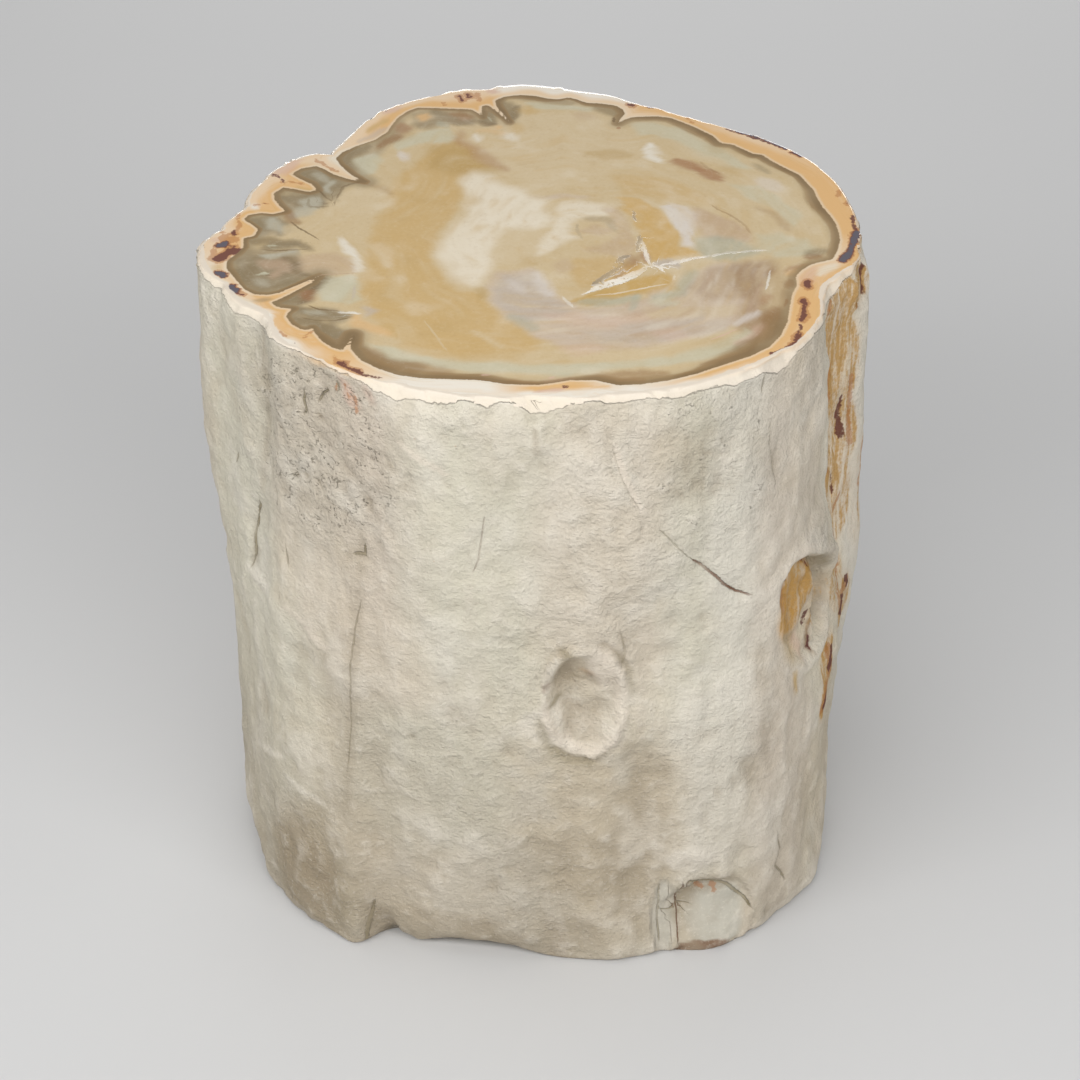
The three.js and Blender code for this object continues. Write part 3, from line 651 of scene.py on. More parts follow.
# Broad colours inside the band: colour, strength, softness, outline
cutAreas = [
    ("gold", 0.9, 1.6, [(-19, -3), (-17.5, 8), (-15, 15), (-12, 21), (-9, 22), (-5, 16), (-8.7, 13),
        (-8.8, 6), (-11, 0), (-11.5, -7), (-9, -12.5), (-5.5, -14), (-3, -18), (-1, -21), (1.5, -24),
        (0, -26), (-8, -27), (-14, -24.5), (-17.5, -20), (-19, -14)]),
    ("deepGold", 0.7, 2, [(-13, 20), (-9.5, 22), (-6.5, 18), (-3, 14.5), (-6, 13), (-9.5, 14), (-13, 15)]),
    ("sand", 0.75, 2.5, [(-2, 29), (9, 28), (13, 22), (12, 17), (16, 12), (10, 10), (2, 10), (-4, 14),
        (-7, 20), (-5, 26)]),
    ("tan", 0.8, 2, [(6, 15), (14, 15), (22, 10), (26, 5), (22, 6), (12, 8), (4, 10)]),
    ("gold", 0.6, 1.8, [(10, 13.5), (16, 13), (21, 9), (22, 6), (17, 7), (11, 8.5)]),
    ("tan", 0.8, 2.2, [(20, 9), (26, 8), (31, 2), (31, -3), (27, -2), (25, 3)]),
    ("lobe", 0.8, 1.2, [(-34.6, -6.5), (-33, -12), (-30.6, -13.6), (-27, -12), (-25, -10), (-26.5, -7.5),
        (-27, -4.4), (-30, -3), (-33, -3.4)]),
    ("lobe", 0.7, 1.2, [(-33.4, 3.4), (-31, 4.2), (-28.6, 2.5), (-27.5, 0.2), (-29, -1), (-32.4, -0.6)]),
    ("lobe", 0.7, 1.2, [(-30.6, 8.8), (-27, 9.4), (-24.6, 8.6), (-23.8, 6.2), (-26.4, 5.2), (-29.4, 5)]),
    ("lobe", 0.8, 1, [(-28.6, 14), (-26, 15.4), (-23, 12.6), (-21, 11.6), (-22.6, 9.8), (-24.4, 9),
        (-25.6, 11)]),
    ("lobe", 0.8, 1, [(-29, -16), (-27.4, -14.4), (-24.6, -10.6), (-23.6, -12.6), (-24.4, -15.6),
        (-26.6, -17)]),
    ("lobe", 0.8, 1, [(-27, -18.6), (-25.6, -17), (-22, -17), (-20, -18.6), (-22, -19.8), (-24.6, -21)]),
    ("lobe", 0.8, 1.2, [(-24, -21), (-22.2, -20.2), (-19.6, -22.6), (-20.2, -25), (-23, -23.6)]),
    ("lobe", 0.6, 1.8, [(-23.4, 17.6), (-22, 14.4), (-19.6, 14.6), (-19.4, 17.4), (-17.4, 21.4),
        (-15.4, 25.4),
        (-16.4, 28), (-19, 23)]),
    ("roseBrown", 0.6, 1.4, [(-11.4, 29.6), (-10.6, 26.4), (-7, 26.4), (-6.6, 28.8), (-8.4, 30)]),
    ("lobe", 0.6, 1.2, [(-15.4, 29.6), (-14.4, 26), (-11, 26), (-11.6, 29.8)]),
    ("cream", 0.95, 2.4, [(-8, 13.5), (-7, 14.1), (-5.4, 13.4), (-4.3, 11.7), (-1.6, 10), (1, 8),
        (2.3, 7.2), (2, 5.5), (2.7, 3.8), (3.2, 2.2), (1.5, 0.9), (-1, 1.2), (-3, 0.2), (-3.6, -2.5),
        (-4.1, -6), (-5, -10.5), (-6, -12.2), (-8, -11.8), (-9.6, -9.5), (-10.7, -6), (-10.4, -2),
        (-9.3, 1.2), (-7.7, 4), (-8.1, 7.5), (-8.4, 11)]),
    ("sand", 0.9, 1, [(-3, 0), (0, 0.6), (2, 0.4), (1, -2), (0.3, -4), (2, -5.4), (1, -7), (-3, -7),
        (-4.2, -5)]),
    ("cream", 0.85, 1.4, [(3.2, 7.1), (5, 7.5), (8, 6.8), (9.9, 5.7), (9.6, 4.3), (7, 4.2), (5.4, 2.7),
        (4.9, 0.5), (5.4, -1.6), (4, -2.6), (2.6, -3.9), (1.8, -5.2), (0.5, -5), (0.4, -3.4), (1.1, -1.4),
        (2.4, 0.3), (3.2, 2.5), (3.4, 5)]),
    ("lilac", 0.57, 0.8, [(-0.5, 8.8), (3, 8.9), (7, 8.6), (6, 7.9), (2.4, 7.6)]),
    ("tan", 0.9, 0.9, [(0, -6), (2.2, -5.4), (3.4, -3.4), (5.5, -3.6), (7, -5.4), (9, -5), (10, -7),
        (8, -10), (6, -13), (3, -13.6), (1.2, -10.5), (0.3, -8)]),
    ("gold", 0.75, 0.9, [(5, -6.2), (9, -5.5), (11.5, -7.2), (12.2, -8.6), (7, -12.5), (5.5, -12.8),
        (4.6, -9.5)]),
    ("rose", 0.5, 0.9, [(8, 6), (10.2, 5.8), (11.5, 2), (12, -3), (11, -6), (8, -5), (6, -4.2), (9, -2),
        (10, 1)]),
    ("honey", 0.95, 0.5, [(10.6, 8), (13, 7.5), (14.7, 5.4), (15.6, 3.6), (16.6, 1.4), (17.5, -1),
        (17.1, -3.2), (18.3, -3.2), (18.9, -4.4), (18.6, -5.4), (16.5, -6.1), (14, -6.8), (13.2, -5),
        (12.8, -1), (12.2, 3), (11, 5)]),
    ("lilacWhite", 0.9, 0.6, [(15.2, 6.2), (16.5, 6.8), (18.5, 6), (19.8, 4), (19.4, 1.5), (18.8, -1.5),
        (19.2, -3.2), (17.6, -3), (17.7, -1), (16.9, 1.5), (15.8, 3.8)]),
    ("rose", 0.72, 1, [(19, 6), (21, 4.6), (23.5, 3), (25, 0.5), (25.5, -2.5), (23, -2), (20, -1),
        (19.5, 2)]),
    ("teal", 0.8, 1.2, [(19.5, -1.2), (22, -0.6), (25, -2.5), (26.5, -5), (24, -6.5), (20.5, -6),
        (19, -4)]),
    ("paleGreen", 0.75, 1.3, [(26.3, -1), (29, -0.6), (33, -3), (32, -5.4), (28, -6), (26, -4.5)]),
    ("lilac", 0.81, 1.4, [(-4, -9), (0, -8.2), (1.5, -11), (2.7, -14), (5, -17), (9, -16.6), (16, -15),
        (18.7, -9), (21.5, -6.8), (27, -7), (27.6, -10), (26.6, -14), (25, -18.5), (21.5, -21.5), (17, -24),
        (10, -26), (4, -25.5), (0.5, -23.5), (-2, -20), (-4.2, -15.5), (-5, -12)]),
    ("greyLilac", 0.8, 1.1, [(-3, -9.6), (0, -9), (1.4, -12), (2.4, -14.5), (4, -17.5), (2, -20), (-1, -20),
        (-3, -17), (-4.4, -13)]),
    ("roseBrown", 0.5, 1.5, [(20, -8), (26, -7.5), (27, -11), (25.5, -15), (20, -15.5), (18, -12)]),
    ("roseBrown", 0.92, 2.0, [(23.4, -7), (27.6, -6.6), (29.2, -10), (28.6, -15), (27, -20), (24, -23),
        (22.6, -21), (24.4, -16), (23, -11)]),
    ("greyLilac", 0.5, 1.4, [(13, -20), (22, -19.5), (21, -22), (14, -24), (8, -24.5), (6, -22)]),
    ("tan", 0.5, 1, [(12, -17), (18, -17), (24, -16.5), (23.5, -18.5), (17, -19), (13, -20)]),
    ("lensYellow", 0.95, 0.6, [(4.4, -15.6), (6.6, -13.4), (9.5, -11.6), (12.5, -9.9), (15, -9.6),
        (16.5, -10.3),
        (16.6, -12.3), (14.6, -13.6), (11, -14.2), (8, -15.5), (6, -16.5)]),
    ("paleGreen", 0.8, 1, [(-14.5, 24.5), (-10.8, 25.3), (-9.5, 23), (-10.6, 21.3), (-14, 21.5),
        (-16, 19.8), (-17, 21.8)]),
    ("paleGreen", 0.8, 0.9, [(-21.8, 17.5), (-19.4, 19.3), (-17.8, 17.5), (-18.4, 14), (-20.3, 13.4)]),
    ("paleGreen", 0.75, 1.2, [(12.2, 26.6), (15, 26.9), (18.2, 25.3), (22, 21.6), (25, 18), (26.3, 15.4),
        (23.5, 15.6), (21.3, 17.6), (19.5, 20.5), (16.6, 22.5), (13, 24)]),
    ("sand", 0.8, 1.2, [(25.5, 14), (29, 13), (32, 8), (33.2, 3), (32, 0), (28.5, 4), (26.5, 8)]),
    ("paleGreen", 0.65, 0.9, [(24, 11.6), (27.5, 11), (30, 8), (32, 3), (30.5, 1), (28, 6), (25.5, 9)]),
    ("paleGreen", 0.8, 0.9, [(-0.8, 32), (4.5, 31.6), (8.5, 30.5), (7, 30), (3, 30.4), (0, 30.5)]),
    ("paleGreen", 0.85, 1, [(-18.2, -24.6), (-15, -25.6), (-12, -27.3), (-4, -28.4), (3, -28.4),
        (10, -28.3), (16, -26.6), (20.5, -24), (23.6, -21.3), (24.6, -22.4), (22.4, -25.6), (18, -28),
        (12, -29.6), (4, -30.3), (-4, -30.3), (-10, -29.4), (-15.5, -27.6)]),
    ("paleGreen", 0.9, 0.6, [(-23.9, -10.6), (-21, -9.8), (-19.6, -10.2), (-19.1, -12.5), (-19.4, -15.2),
        (-20.8, -16), (-23.4, -15.3), (-24, -13)]),
    ("rose", 0.54, 0.8, [(-27.2, -6.2), (-25, -4.8), (-22, -4.4), (-20.7, -6.5), (-20.2, -9.2), (-23, -9.7),
        (-25.6, -9.2), (-27, -8.2)]),
    ("sand", 0.7, 1.2, [(-22.8, 10), (-17.5, 10.5), (-16, 7), (-19, 4), (-24.5, 4.5), (-23.6, 7)]),
]

# Areas where thin layers of another colour lie along the rings: colour, strength, outline, seed
frontRight = [(-2, -9), (3, -14), (9, -16), (19, -8.6), (27, -7.4), (28.4, -12), (26, -18.6), (21.5, -22.4),
              (13, -26), (4, -27), (-1, -22)]
wholeCore = [(-24, 14), (-8, 29), (12, 28), (26, 16), (34, 0), (28, -18), (12, -30), (-12, -29), (-24, -14)]
streakyAreas = [
    ("greyLilac", 0.75, frontRight, 201), ("rose", 0.7, frontRight, 203), ("cream", 0.5, frontRight, 205),
    ("sand", 0.35, wholeCore, 207), ("gold", 0.3, wholeCore, 209),
]

# Marks on the cut: colour, strength, half width, softness, path
cutMarks = [
    ("redBrown", 0.6, 0.25, 0.5, [(-8, -31.4), (-4, -31.9), (0, -32.3), (3, -32)]),
    ("redBrown", 0.5, 0.25, 0.5, [(5, -31.4), (8, -31.8), (12, -32)]), ("pink", 0.5, 0.3, 0.6, [(1, -31.6),
        (4.6, -31.2)]),
    ("greyLilac", 0.9, 0.7, 0.5, [(14.2, -7.6), (15.6, -7.4), (16.4, -7.8)]),
    ("redBrown", 0.6, 0.4, 0.6, [(12.8, -4.6), (13, -6.6)]), ("redBrown", 0.5, 0.4, 0.8, [(11.4, -6),
        (10.6, -8.2), (9.4, -10)]),
    ("brown", 0.6, 0.4, 1.0, [(27.4, -9), (28, -12), (27.6, -16), (26, -20)]),
    ("redBrown", 0.5, 0.3, 0.6, [(28, -9.4), (29.4, -8.6), (31.4, -7.6)]),
    ("pink", 0.6, 0.4, 0.8, [(26, -20.6), (24.6, -22.4), (22.6, -24)]),
    ("greyOlive", 0.77, 1.5, 1, [(-27.3, 13.8), (-24.6, 12.6), (-23.9, 10), (-23.7, 8)]),
    ("lobePale", 0.59, 0.45, 0.7, [(-25.9, 13.6), (-24.3, 12)]),
    ("lobePale", 0.77, 0.4, 0.6, [(-23.4, 11.9), (-24.2, 10.4), (-23.7, 9.3)]),
    ("greyOlive", 0.77, 1.6, 1, [(-29.3, 8.4), (-26.6, 7.6), (-25, 6.6)]),
    ("lobePale", 0.77, 0.9, 0.8, [(-27.6, 7.6), (-26, 7.2), (-27.2, 4.8), (-28.3, 3.6)]),
    ("brown", 0.68, 0.4, 0.5, [(-29.9, 4.6), (-29, 4.3), (-28.4, 2.9), (-27.6, 1.8)]),
    ("greyOlive", 0.77, 1.2, 1, [(-32.6, 2.9), (-30.4, 1.6), (-29.2, 0.2)]),
    ("lobePale", 0.81, 0.7, 0.8, [(-31, 3), (-30.4, 1.6), (-29.2, 0.4)]),
    ("tan", 0.68, 0.7, 0.8, [(-28.6, 1), (-27.4, -1), (-25.2, -2.4)]),
    ("olive", 0.77, 0.5, 0.7, [(-32.8, -1.7), (-30, -2), (-27.6, -3), (-25.6, -3.8)]),
    ("greyOlive", 0.77, 0.5, 0.6, [(-31.2, -3), (-29, -3.2), (-27.4, -3.4)]),
    ("greyOlive", 0.81, 3, 1.6, [(-32, -6.6), (-31, -9), (-30.4, -11)]),
    ("olive", 0.51, 0.9, 1, [(-32.6, -8), (-33, -10.5), (-31.5, -12.6), (-29, -12.4)]),
    ("rose", 0.68, 0.8, 0.9, [(-31.6, -7), (-29.6, -7.4), (-28.6, -8.6), (-29.6, -9.9)]),
    ("lobePale", 0.81, 0.35, 0.45, [(-31.4, -5), (-30.2, -5.6), (-28.6, -5.3), (-27, -5)]),
    ("darkLine", 0.51, 0.35, 0.6, [(-29, -6.2), (-27.8, -6.8), (-27.6, -8.4), (-26.4, -9.6), (-25, -10)]),
    ("greyOlive", 0.77, 0.7, 0.7, [(-28.4, -9.6), (-27.6, -10.8), (-26.8, -11)]),
    ("lobePale", 0.42, 0.7, 0.8, [(-31.4, -11), (-30.4, -12)]),
    ("darkLine", 0.68, 0.35, 0.6, [(-23.4, -10.3), (-24, -12), (-25.2, -14.6), (-26, -16)]),
    ("redBrown", 0.59, 0.8, 0.8, [(-25.6, -13.6), (-24.8, -14.6)]),
    ("olive", 0.68, 0.7, 0.8, [(-28, -15.8), (-26.4, -15)]),
    ("greyOlive", 0.81, 0.9, 0.8, [(-25.6, -17.4), (-24, -18.4), (-21.8, -18.9), (-20.4, -18.6)]),
    ("lobePale", 0.59, 0.35, 0.6, [(-24.8, -18), (-23, -18.6)]),
    ("greyLilac", 0.68, 0.5, 0.6, [(-18.6, -16.6), (-17.8, -17.2), (-18.1, -18)]),
    ("orange", 0.59, 0.5, 0.9, [(-19.4, -18.6), (-19, -20.4), (-17, -21.6), (-15.6, -22.4)]),
    ("olive", 0.72, 0.8, 0.7, [(-26, -19.6), (-25, -20.6)]),
    ("olive", 0.77, 0.9, 0.9, [(-23.6, -20.6), (-22.6, -22.6), (-21.2, -24.6)]),
    ("greyOlive", 0.68, 0.6, 0.8, [(-22, -20.8), (-21, -22.6), (-20.6, -24)]),
    ("white", 0.72, 0.35, 0.5, [(-22.2, -1.6), (-21.2, -3.6), (-20.5, -5.6)]),
    ("white", 0.59, 0.4, 0.5, [(-20.5, -5.6), (-20.2, -7.4), (-20.1, -9)]),
    ("brown", 0.3, 0.25, 0.6, [(-19.4, 11.6), (-17.6, 10.4), (-16.6, 9.5)]),
    ("greyOlive", 0.81, 0.7, 0.8, [(-3.6, 32.6), (-2.9, 30.5), (-2.4, 28.4)]),
    ("olive", 0.68, 0.4, 0.5, [(-2, 31), (-2.2, 28.8), (-2.6, 27.2)]),
    ("greyOlive", 0.81, 0.7, 0.7, [(-5.7, 30), (-5, 28), (-4.7, 26.7)]),
    ("darkLine", 0.59, 0.4, 0.5, [(-6.2, 27.4), (-5.4, 26.4), (-4.4, 26.7)]),
    ("orange", 0.68, 0.35, 0.5, [(-4.4, 25.8), (-3.9, 25.5)]),
    ("brown", 0.72, 1.1, 0.9, [(-9.6, 28.8), (-8.2, 28.6)]),
    ("rose", 0.51, 0.5, 0.7, [(-8.9, 27.8), (-8, 27.6)]),
    ("greyOlive", 0.72, 0.7, 0.9, [(-12, 29.6), (-10.8, 28), (-9, 26.7), (-7, 27.2)]),
    ("orange", 0.72, 0.7, 0.7, [(-14, 28.4), (-13.2, 28)]),
    ("olive", 0.51, 0.8, 0.9, [(-14.6, 26.6), (-13, 26), (-12, 27)]),
    ("teal", 0.51, 0.5, 0.7, [(-11.6, 26.6), (-11, 25.8)]),
    ("redBrown", 0.51, 0.8, 0.9, [(-16.6, 26.4), (-16.4, 24.8)]),
    ("brown", 0.77, 0.55, 0.7, [(-16.4, 23.4), (-18, 22), (-19, 20.4)]),
    ("olive", 0.72, 0.9, 0.9, [(-20.6, 20.6), (-22.2, 19), (-22.8, 17), (-21.8, 15)]),
    ("gold", 0.68, 0.9, 1.2, [(-1, 29.8), (0, 29.6)]),
    ("gold", 0.51, 0.5, 0.8, [(-2, 26), (-1.6, 24)]),
    ("olive", 0.51, 0.6, 0.8, [(-1.4, 33.4), (2, 32.7), (5, 32.2)]),
    ("olive", 0.68, 0.8, 0.9, [(8.4, 30.6), (9.8, 30), (10.4, 29)]),
    ("rose", 0.34, 0.7, 1.2, [(5.6, 29), (7, 28.8)]),
    ("redBrown", 0.38, 0.5, 1, [(-8.7, 24), (-9, 22), (-7.4, 20), (-5, 16.6), (-3.4, 14.8)]),
    ("white", 0.59, 0.4, 0.6, [(-6.9, 23.6), (-6.6, 22)]),
    ("white", 0.51, 0.6, 0.8, [(-3.2, 23.8), (-2.2, 22.6)]),
    ("lilacWhite", 0.68, 0.5, 0.7, [(-15.6, 19), (-15.2, 17.8)]),
    ("orange", 0.34, 0.4, 0.8, [(-6.4, 25), (-3.5, 24)]),
    ("deepGold", 0.47, 0.8, 0.9, [(7.4, 18.5), (11.6, 18.6)]),
    ("white", 0.72, 0.35, 0.5, [(14.4, 21.6), (14, 20), (14.2, 18.4), (15.6, 17.4)]),
    ("white", 0.42, 0.3, 0.6, [(14.6, 21), (15.2, 19)]),
    ("redBrown", 0.72, 0.9, 0.6, [(17.6, 17.6), (19, 16.2), (20.6, 14.8)]),
    ("redBrown", 0.72, 0.75, 0.5, [(20.6, 14.8), (21.8, 13.8), (22.8, 12.6)]),
    ("sand", 0.59, 0.5, 0.8, [(17.5, 21.5), (20.5, 19), (22.8, 16.4)]),
    ("brown", 0.3, 0.25, 0.7, [(26.6, 5.6), (28, 4.2), (29.4, 1.8), (30, 0.2)]),
    ("greyOlive", 0.51, 0.4, 0.6, [(27, 16.6), (28.6, 14.6)]),
    ("lilacWhite", 0.42, 0.8, 1, [(27.5, 12.5), (29.5, 10.5)]),
    ("brown", 0.77, 0.5, 0.5, [(31.6, -5.6), (33.6, -5.5)]),
    ("greyOlive", 0.68, 0.6, 0.8, [(32, -4.6), (34, -4.2)]),
    ("tan", 0.68, 1.2, 1.2, [(28.6, -9), (27.8, -13), (27, -17)]),
    ("brown", 0.64, 0.8, 0.9, [(27.4, -17.4), (26.9, -20), (26, -22.4), (24.4, -24)]),
    ("brown", 0.68, 0.35, 0.4, [(29.4, -10.9), (28.9, -12.4)]),
    ("orange", 0.51, 0.4, 0.6, [(29, -9.6), (30, -9.2)]),
    ("redBrown", 0.42, 0.3, 0.6, [(26.6, -14), (26.2, -16)]),
    ("lilacWhite", 0.68, 0.3, 0.6, [(25.6, -17.8), (24, -19.4), (22.4, -20.6)]),
    ("olive", 0.51, 0.7, 0.9, [(24.6, -23.4), (22.6, -25.4)]),
    ("olive", 0.59, 0.8, 1, [(-19, -25.6), (-17.6, -27.2), (-15, -28.6), (-12, -29.6)]),
    ("brown", 0.47, 0.7, 1, [(-18.4, -26), (-16.4, -27.8), (-13, -29.2), (-9, -30.2)]),
    ("brown", 0.59, 0.45, 0.7, [(6, -31), (9, -30.9), (12, -30.9), (15, -30.6)]),
    ("brown", 0.51, 0.3, 0.6, [(19, -28.6), (22, -26.9), (24.6, -24.6)]),
    ("gold", 0.42, 0.8, 1.2, [(-14, -25), (-8, -26.8), (-2, -27)]),
    ("sand", 0.68, 0.3, 0.6, [(-6.4, -22), (-4.6, -24), (-2.8, -25.6)]),
    ("teal", 0.51, 0.5, 0.8, [(-2.2, -18.6), (-1, -20.2), (0.2, -21.4)]),
    ("teal", 0.64, 0.6, 0.8, [(5.4, -15.8), (8.6, -15.6), (11.6, -14.9)]),
    ("teal", 0.59, 0.6, 0.9, [(14, -14.8), (16.6, -13.6), (17.4, -11), (18.2, -9)]),
    ("teal", 0.59, 0.35, 0.4, [(12, -14), (11.6, -15.8), (11, -17.8)]),
    ("paleGreen", 0.59, 0.6, 0.8, [(13.4, -15.8), (16.4, -15.8)]),
    ("lilacWhite", 0.59, 0.5, 0.8, [(0.4, -9.4), (1.2, -12), (2.2, -13.8)]),
    ("lilacWhite", 0.42, 0.4, 0.8, [(-2.4, -11), (-1, -12.8)]),
    ("sand", 0.51, 0.5, 0.8, [(-8, -13), (-6.4, -13.6)]),
    ("deepGold", 0.51, 0.5, 0.8, [(-5.6, -12.5), (-5.2, -15)]),
    ("honey", 0.68, 0.5, 0.7, [(11.6, -7.4), (10.6, -9.2)]),
    ("brown", 0.3, 0.5, 0.8, [(10, -7), (12, -5.6)]),
    ("specks", 0.38, 0.4, 0.5, [(6.4, 3.2), (7.6, 3.6), (8.8, 2.8), (9.4, 1)]),
    ("rose", 0.42, 1.5, 0.8, [(7.3, 1.2), (7.5, 0.2)]),
    ("rose", 0.34, 0.9, 1, [(4, -7), (3.8, -9)]),
    ("lilac", 0.51, 0.4, 0.8, [(6, -18.8), (8, -18.6)]),
    ("pink", 0.3, 0.8, 1.4, [(2, -18.6), (8, -20), (12, -19.6)]),
    ("sand", 0.51, 0.6, 1, [(5, -27.4), (10, -27.2), (14, -26.2)]),
    ("pink", 0.3, 0.6, 1, [(4, -25.6), (8, -25.8)]),
    ("pink", 0.3, 0.6, 1, [(14, -22.6), (17, -23)]),
]

# Thin crisp veins of the cut: colour, half width, strength, path
cutVeins = [
    ("darkLine", 0.19, 0.72, [(-20.5, 12), (-21.8, 11.4), (-22.6, 10.8), (-22.9, 9.4), (-23.3, 7.6)]),
    ("darkLine", 0.15, 0.72, [(-25.4, 10), (-24.4, 8), (-23.6, 7.2), (-23.4, 6.2)]),
    ("greyOlive", 0.19, 0.63, [(-26.6, 8), (-26.5, 6.2), (-25, 5.6)]),
    ("darkLine", 0.15, 0.54, [(-26.6, 6), (-24, 5.9)]),
    ("darkLine", 0.13, 0.77, [(-28.4, 2.6), (-27.5, 1.2), (-26, -0.4), (-24.7, -1.9)]),
    ("paleGreen", 0.22, 0.72, [(-30.6, -3), (-29.4, -3.2)]),
    ("darkLine", 0.15, 0.63, [(-31.4, -3.9), (-29.8, -4.3), (-28, -4.1), (-25.8, -3.9)]),
    ("paleGreen", 0.22, 0.72, [(-31.6, -9.7), (-30.6, -9.3), (-29.8, -9.4)]),
    ("darkLine", 0.13, 0.63, [(-31.6, -10), (-30.4, -9.7), (-29.6, -9.8)]),
    ("rose", 0.13, 0.63, [(-24.4, -9.7), (-22.4, -9.5), (-20.2, -9.3)]),
    ("darkLine", 0.15, 0.77, [(-25.2, -16.2), (-24, -17.1), (-22.6, -17.4), (-21.6, -17.5)]),
    ("darkLine", 0.15, 0.63, [(-25.6, -18.9), (-24, -19.5), (-22, -19.6), (-20.2, -18.9)]),
    ("white", 0.22, 0.85, [(-21.8, -17.8), (-20.4, -17.9), (-19, -18.1)]),
    ("darkLine", 0.19, 0.63, [(-19.6, -22.6), (-19.7, -24.4)]),
    ("greyLilac", 0.22, 0.45, [(-20.1, -12), (-20.1, -15)]),
    ("paleGreen", 0.15, 0.45, [(-5.6, 28.6), (-5, 27.2)]),
    ("darkLine", 0.22, 0.81, [(10.2, 28.4), (10.1, 27)]),
    ("redBrown", 0.22, 0.81, [(10.6, 25.9), (10.8, 25.3)]),
    ("brown", 0.22, 0.45, [(20.4, 17), (21.4, 15.4), (22.8, 13.8)]),
    ("brown", 0.17, 0.54, [(21.2, 6.6), (22.4, 4.9), (24, 3.4), (25, 1.6), (25.7, -0.4)]),
    ("sand", 0.22, 0.54, [(22.4, 6), (23.2, 4.8)]),
    ("brown", 0.22, 0.63, [(28.9, -14.8), (28.5, -16.6)]),
    ("white", 0.15, 0.72, [(27.4, -8.6), (27, -11), (26.6, -13)]),
    ("pink", 0.13, 0.72, [(23, -21.2), (21.6, -22.4), (19.8, -23.6)]),
    ("pink", 0.19, 0.54, [(-5.6, -30.8), (-4.4, -30.7)]),
    ("pink", 0.22, 0.72, [(1.8, -31.4), (2.6, -31.2)]),
    ("sand", 0.13, 0.63, [(-12, -19.4), (-11, -21.8), (-10, -24), (-9.2, -26)]),
    ("cream", 0.15, 0.68, [(7, -14.2), (9.6, -13.8), (12, -12.9), (14.6, -11.9), (15.7, -11.6)]),
    ("cream", 0.19, 0.63, [(16.3, -9.6), (16.2, -11)]),
    ("white", 0.21, 0.85, [(3.5, -14.4), (4.1, -15.6), (4.8, -16.7)]),
    ("specks", 0.22, 0.32, [(5.4, 2), (5.3, 0), (6, -1.6)]),
]

# The open star of cracks in the middle of the cut, the same way
starCracks = [
    ("chalk", 0.34, 1.0, [(13.9, -7.4), (12.9, -8.3), (11.4, -9.6), (10.2, -10.5), (8.6, -11.5),
        (6.7, -12.8)]),
    ("white", 0.2, 0.9, [(13.2, -8.4), (12.0, -9.9), (10.4, -11.3), (8.4, -12.4), (5.6, -14.0)]),
    ("chalk", 0.22, 1.0, [(13.7, -7.3), (13.4, -6), (13.1, -4.4), (12.9, -2.2)]),
    ("chalk", 0.32, 1.0, [(13.8, -7.6), (14.7, -7.7), (15.2, -8.9)]),
    ("chalk", 0.2, 0.9, [(14.6, -7.6), (16.4, -7), (18.4, -6.2), (20.8, -5.3)]),
    ("lilacWhite", 0.2, 0.5, [(16, -6.6), (20.8, -5.3), (23, -4.6), (27.4, -4)]),
    ("specks", 0.24, 0.95, [(12.7, -0.6), (12.4, -2.6), (12.2, -4.4)]),
    ("specks", 0.34, 0.9, [(11.6, -5.2), (10.5, -5.7), (9.9, -6.8)]),
    ("specks", 0.36, 0.95, [(10.3, -7.6), (9.2, -9.0), (8.0, -10.4), (7.0, -11.8)]),
    ("specks", 0.2, 0.85, [(11.9, 5), (12.1, 3.8), (12.4, 2.6)]),
]

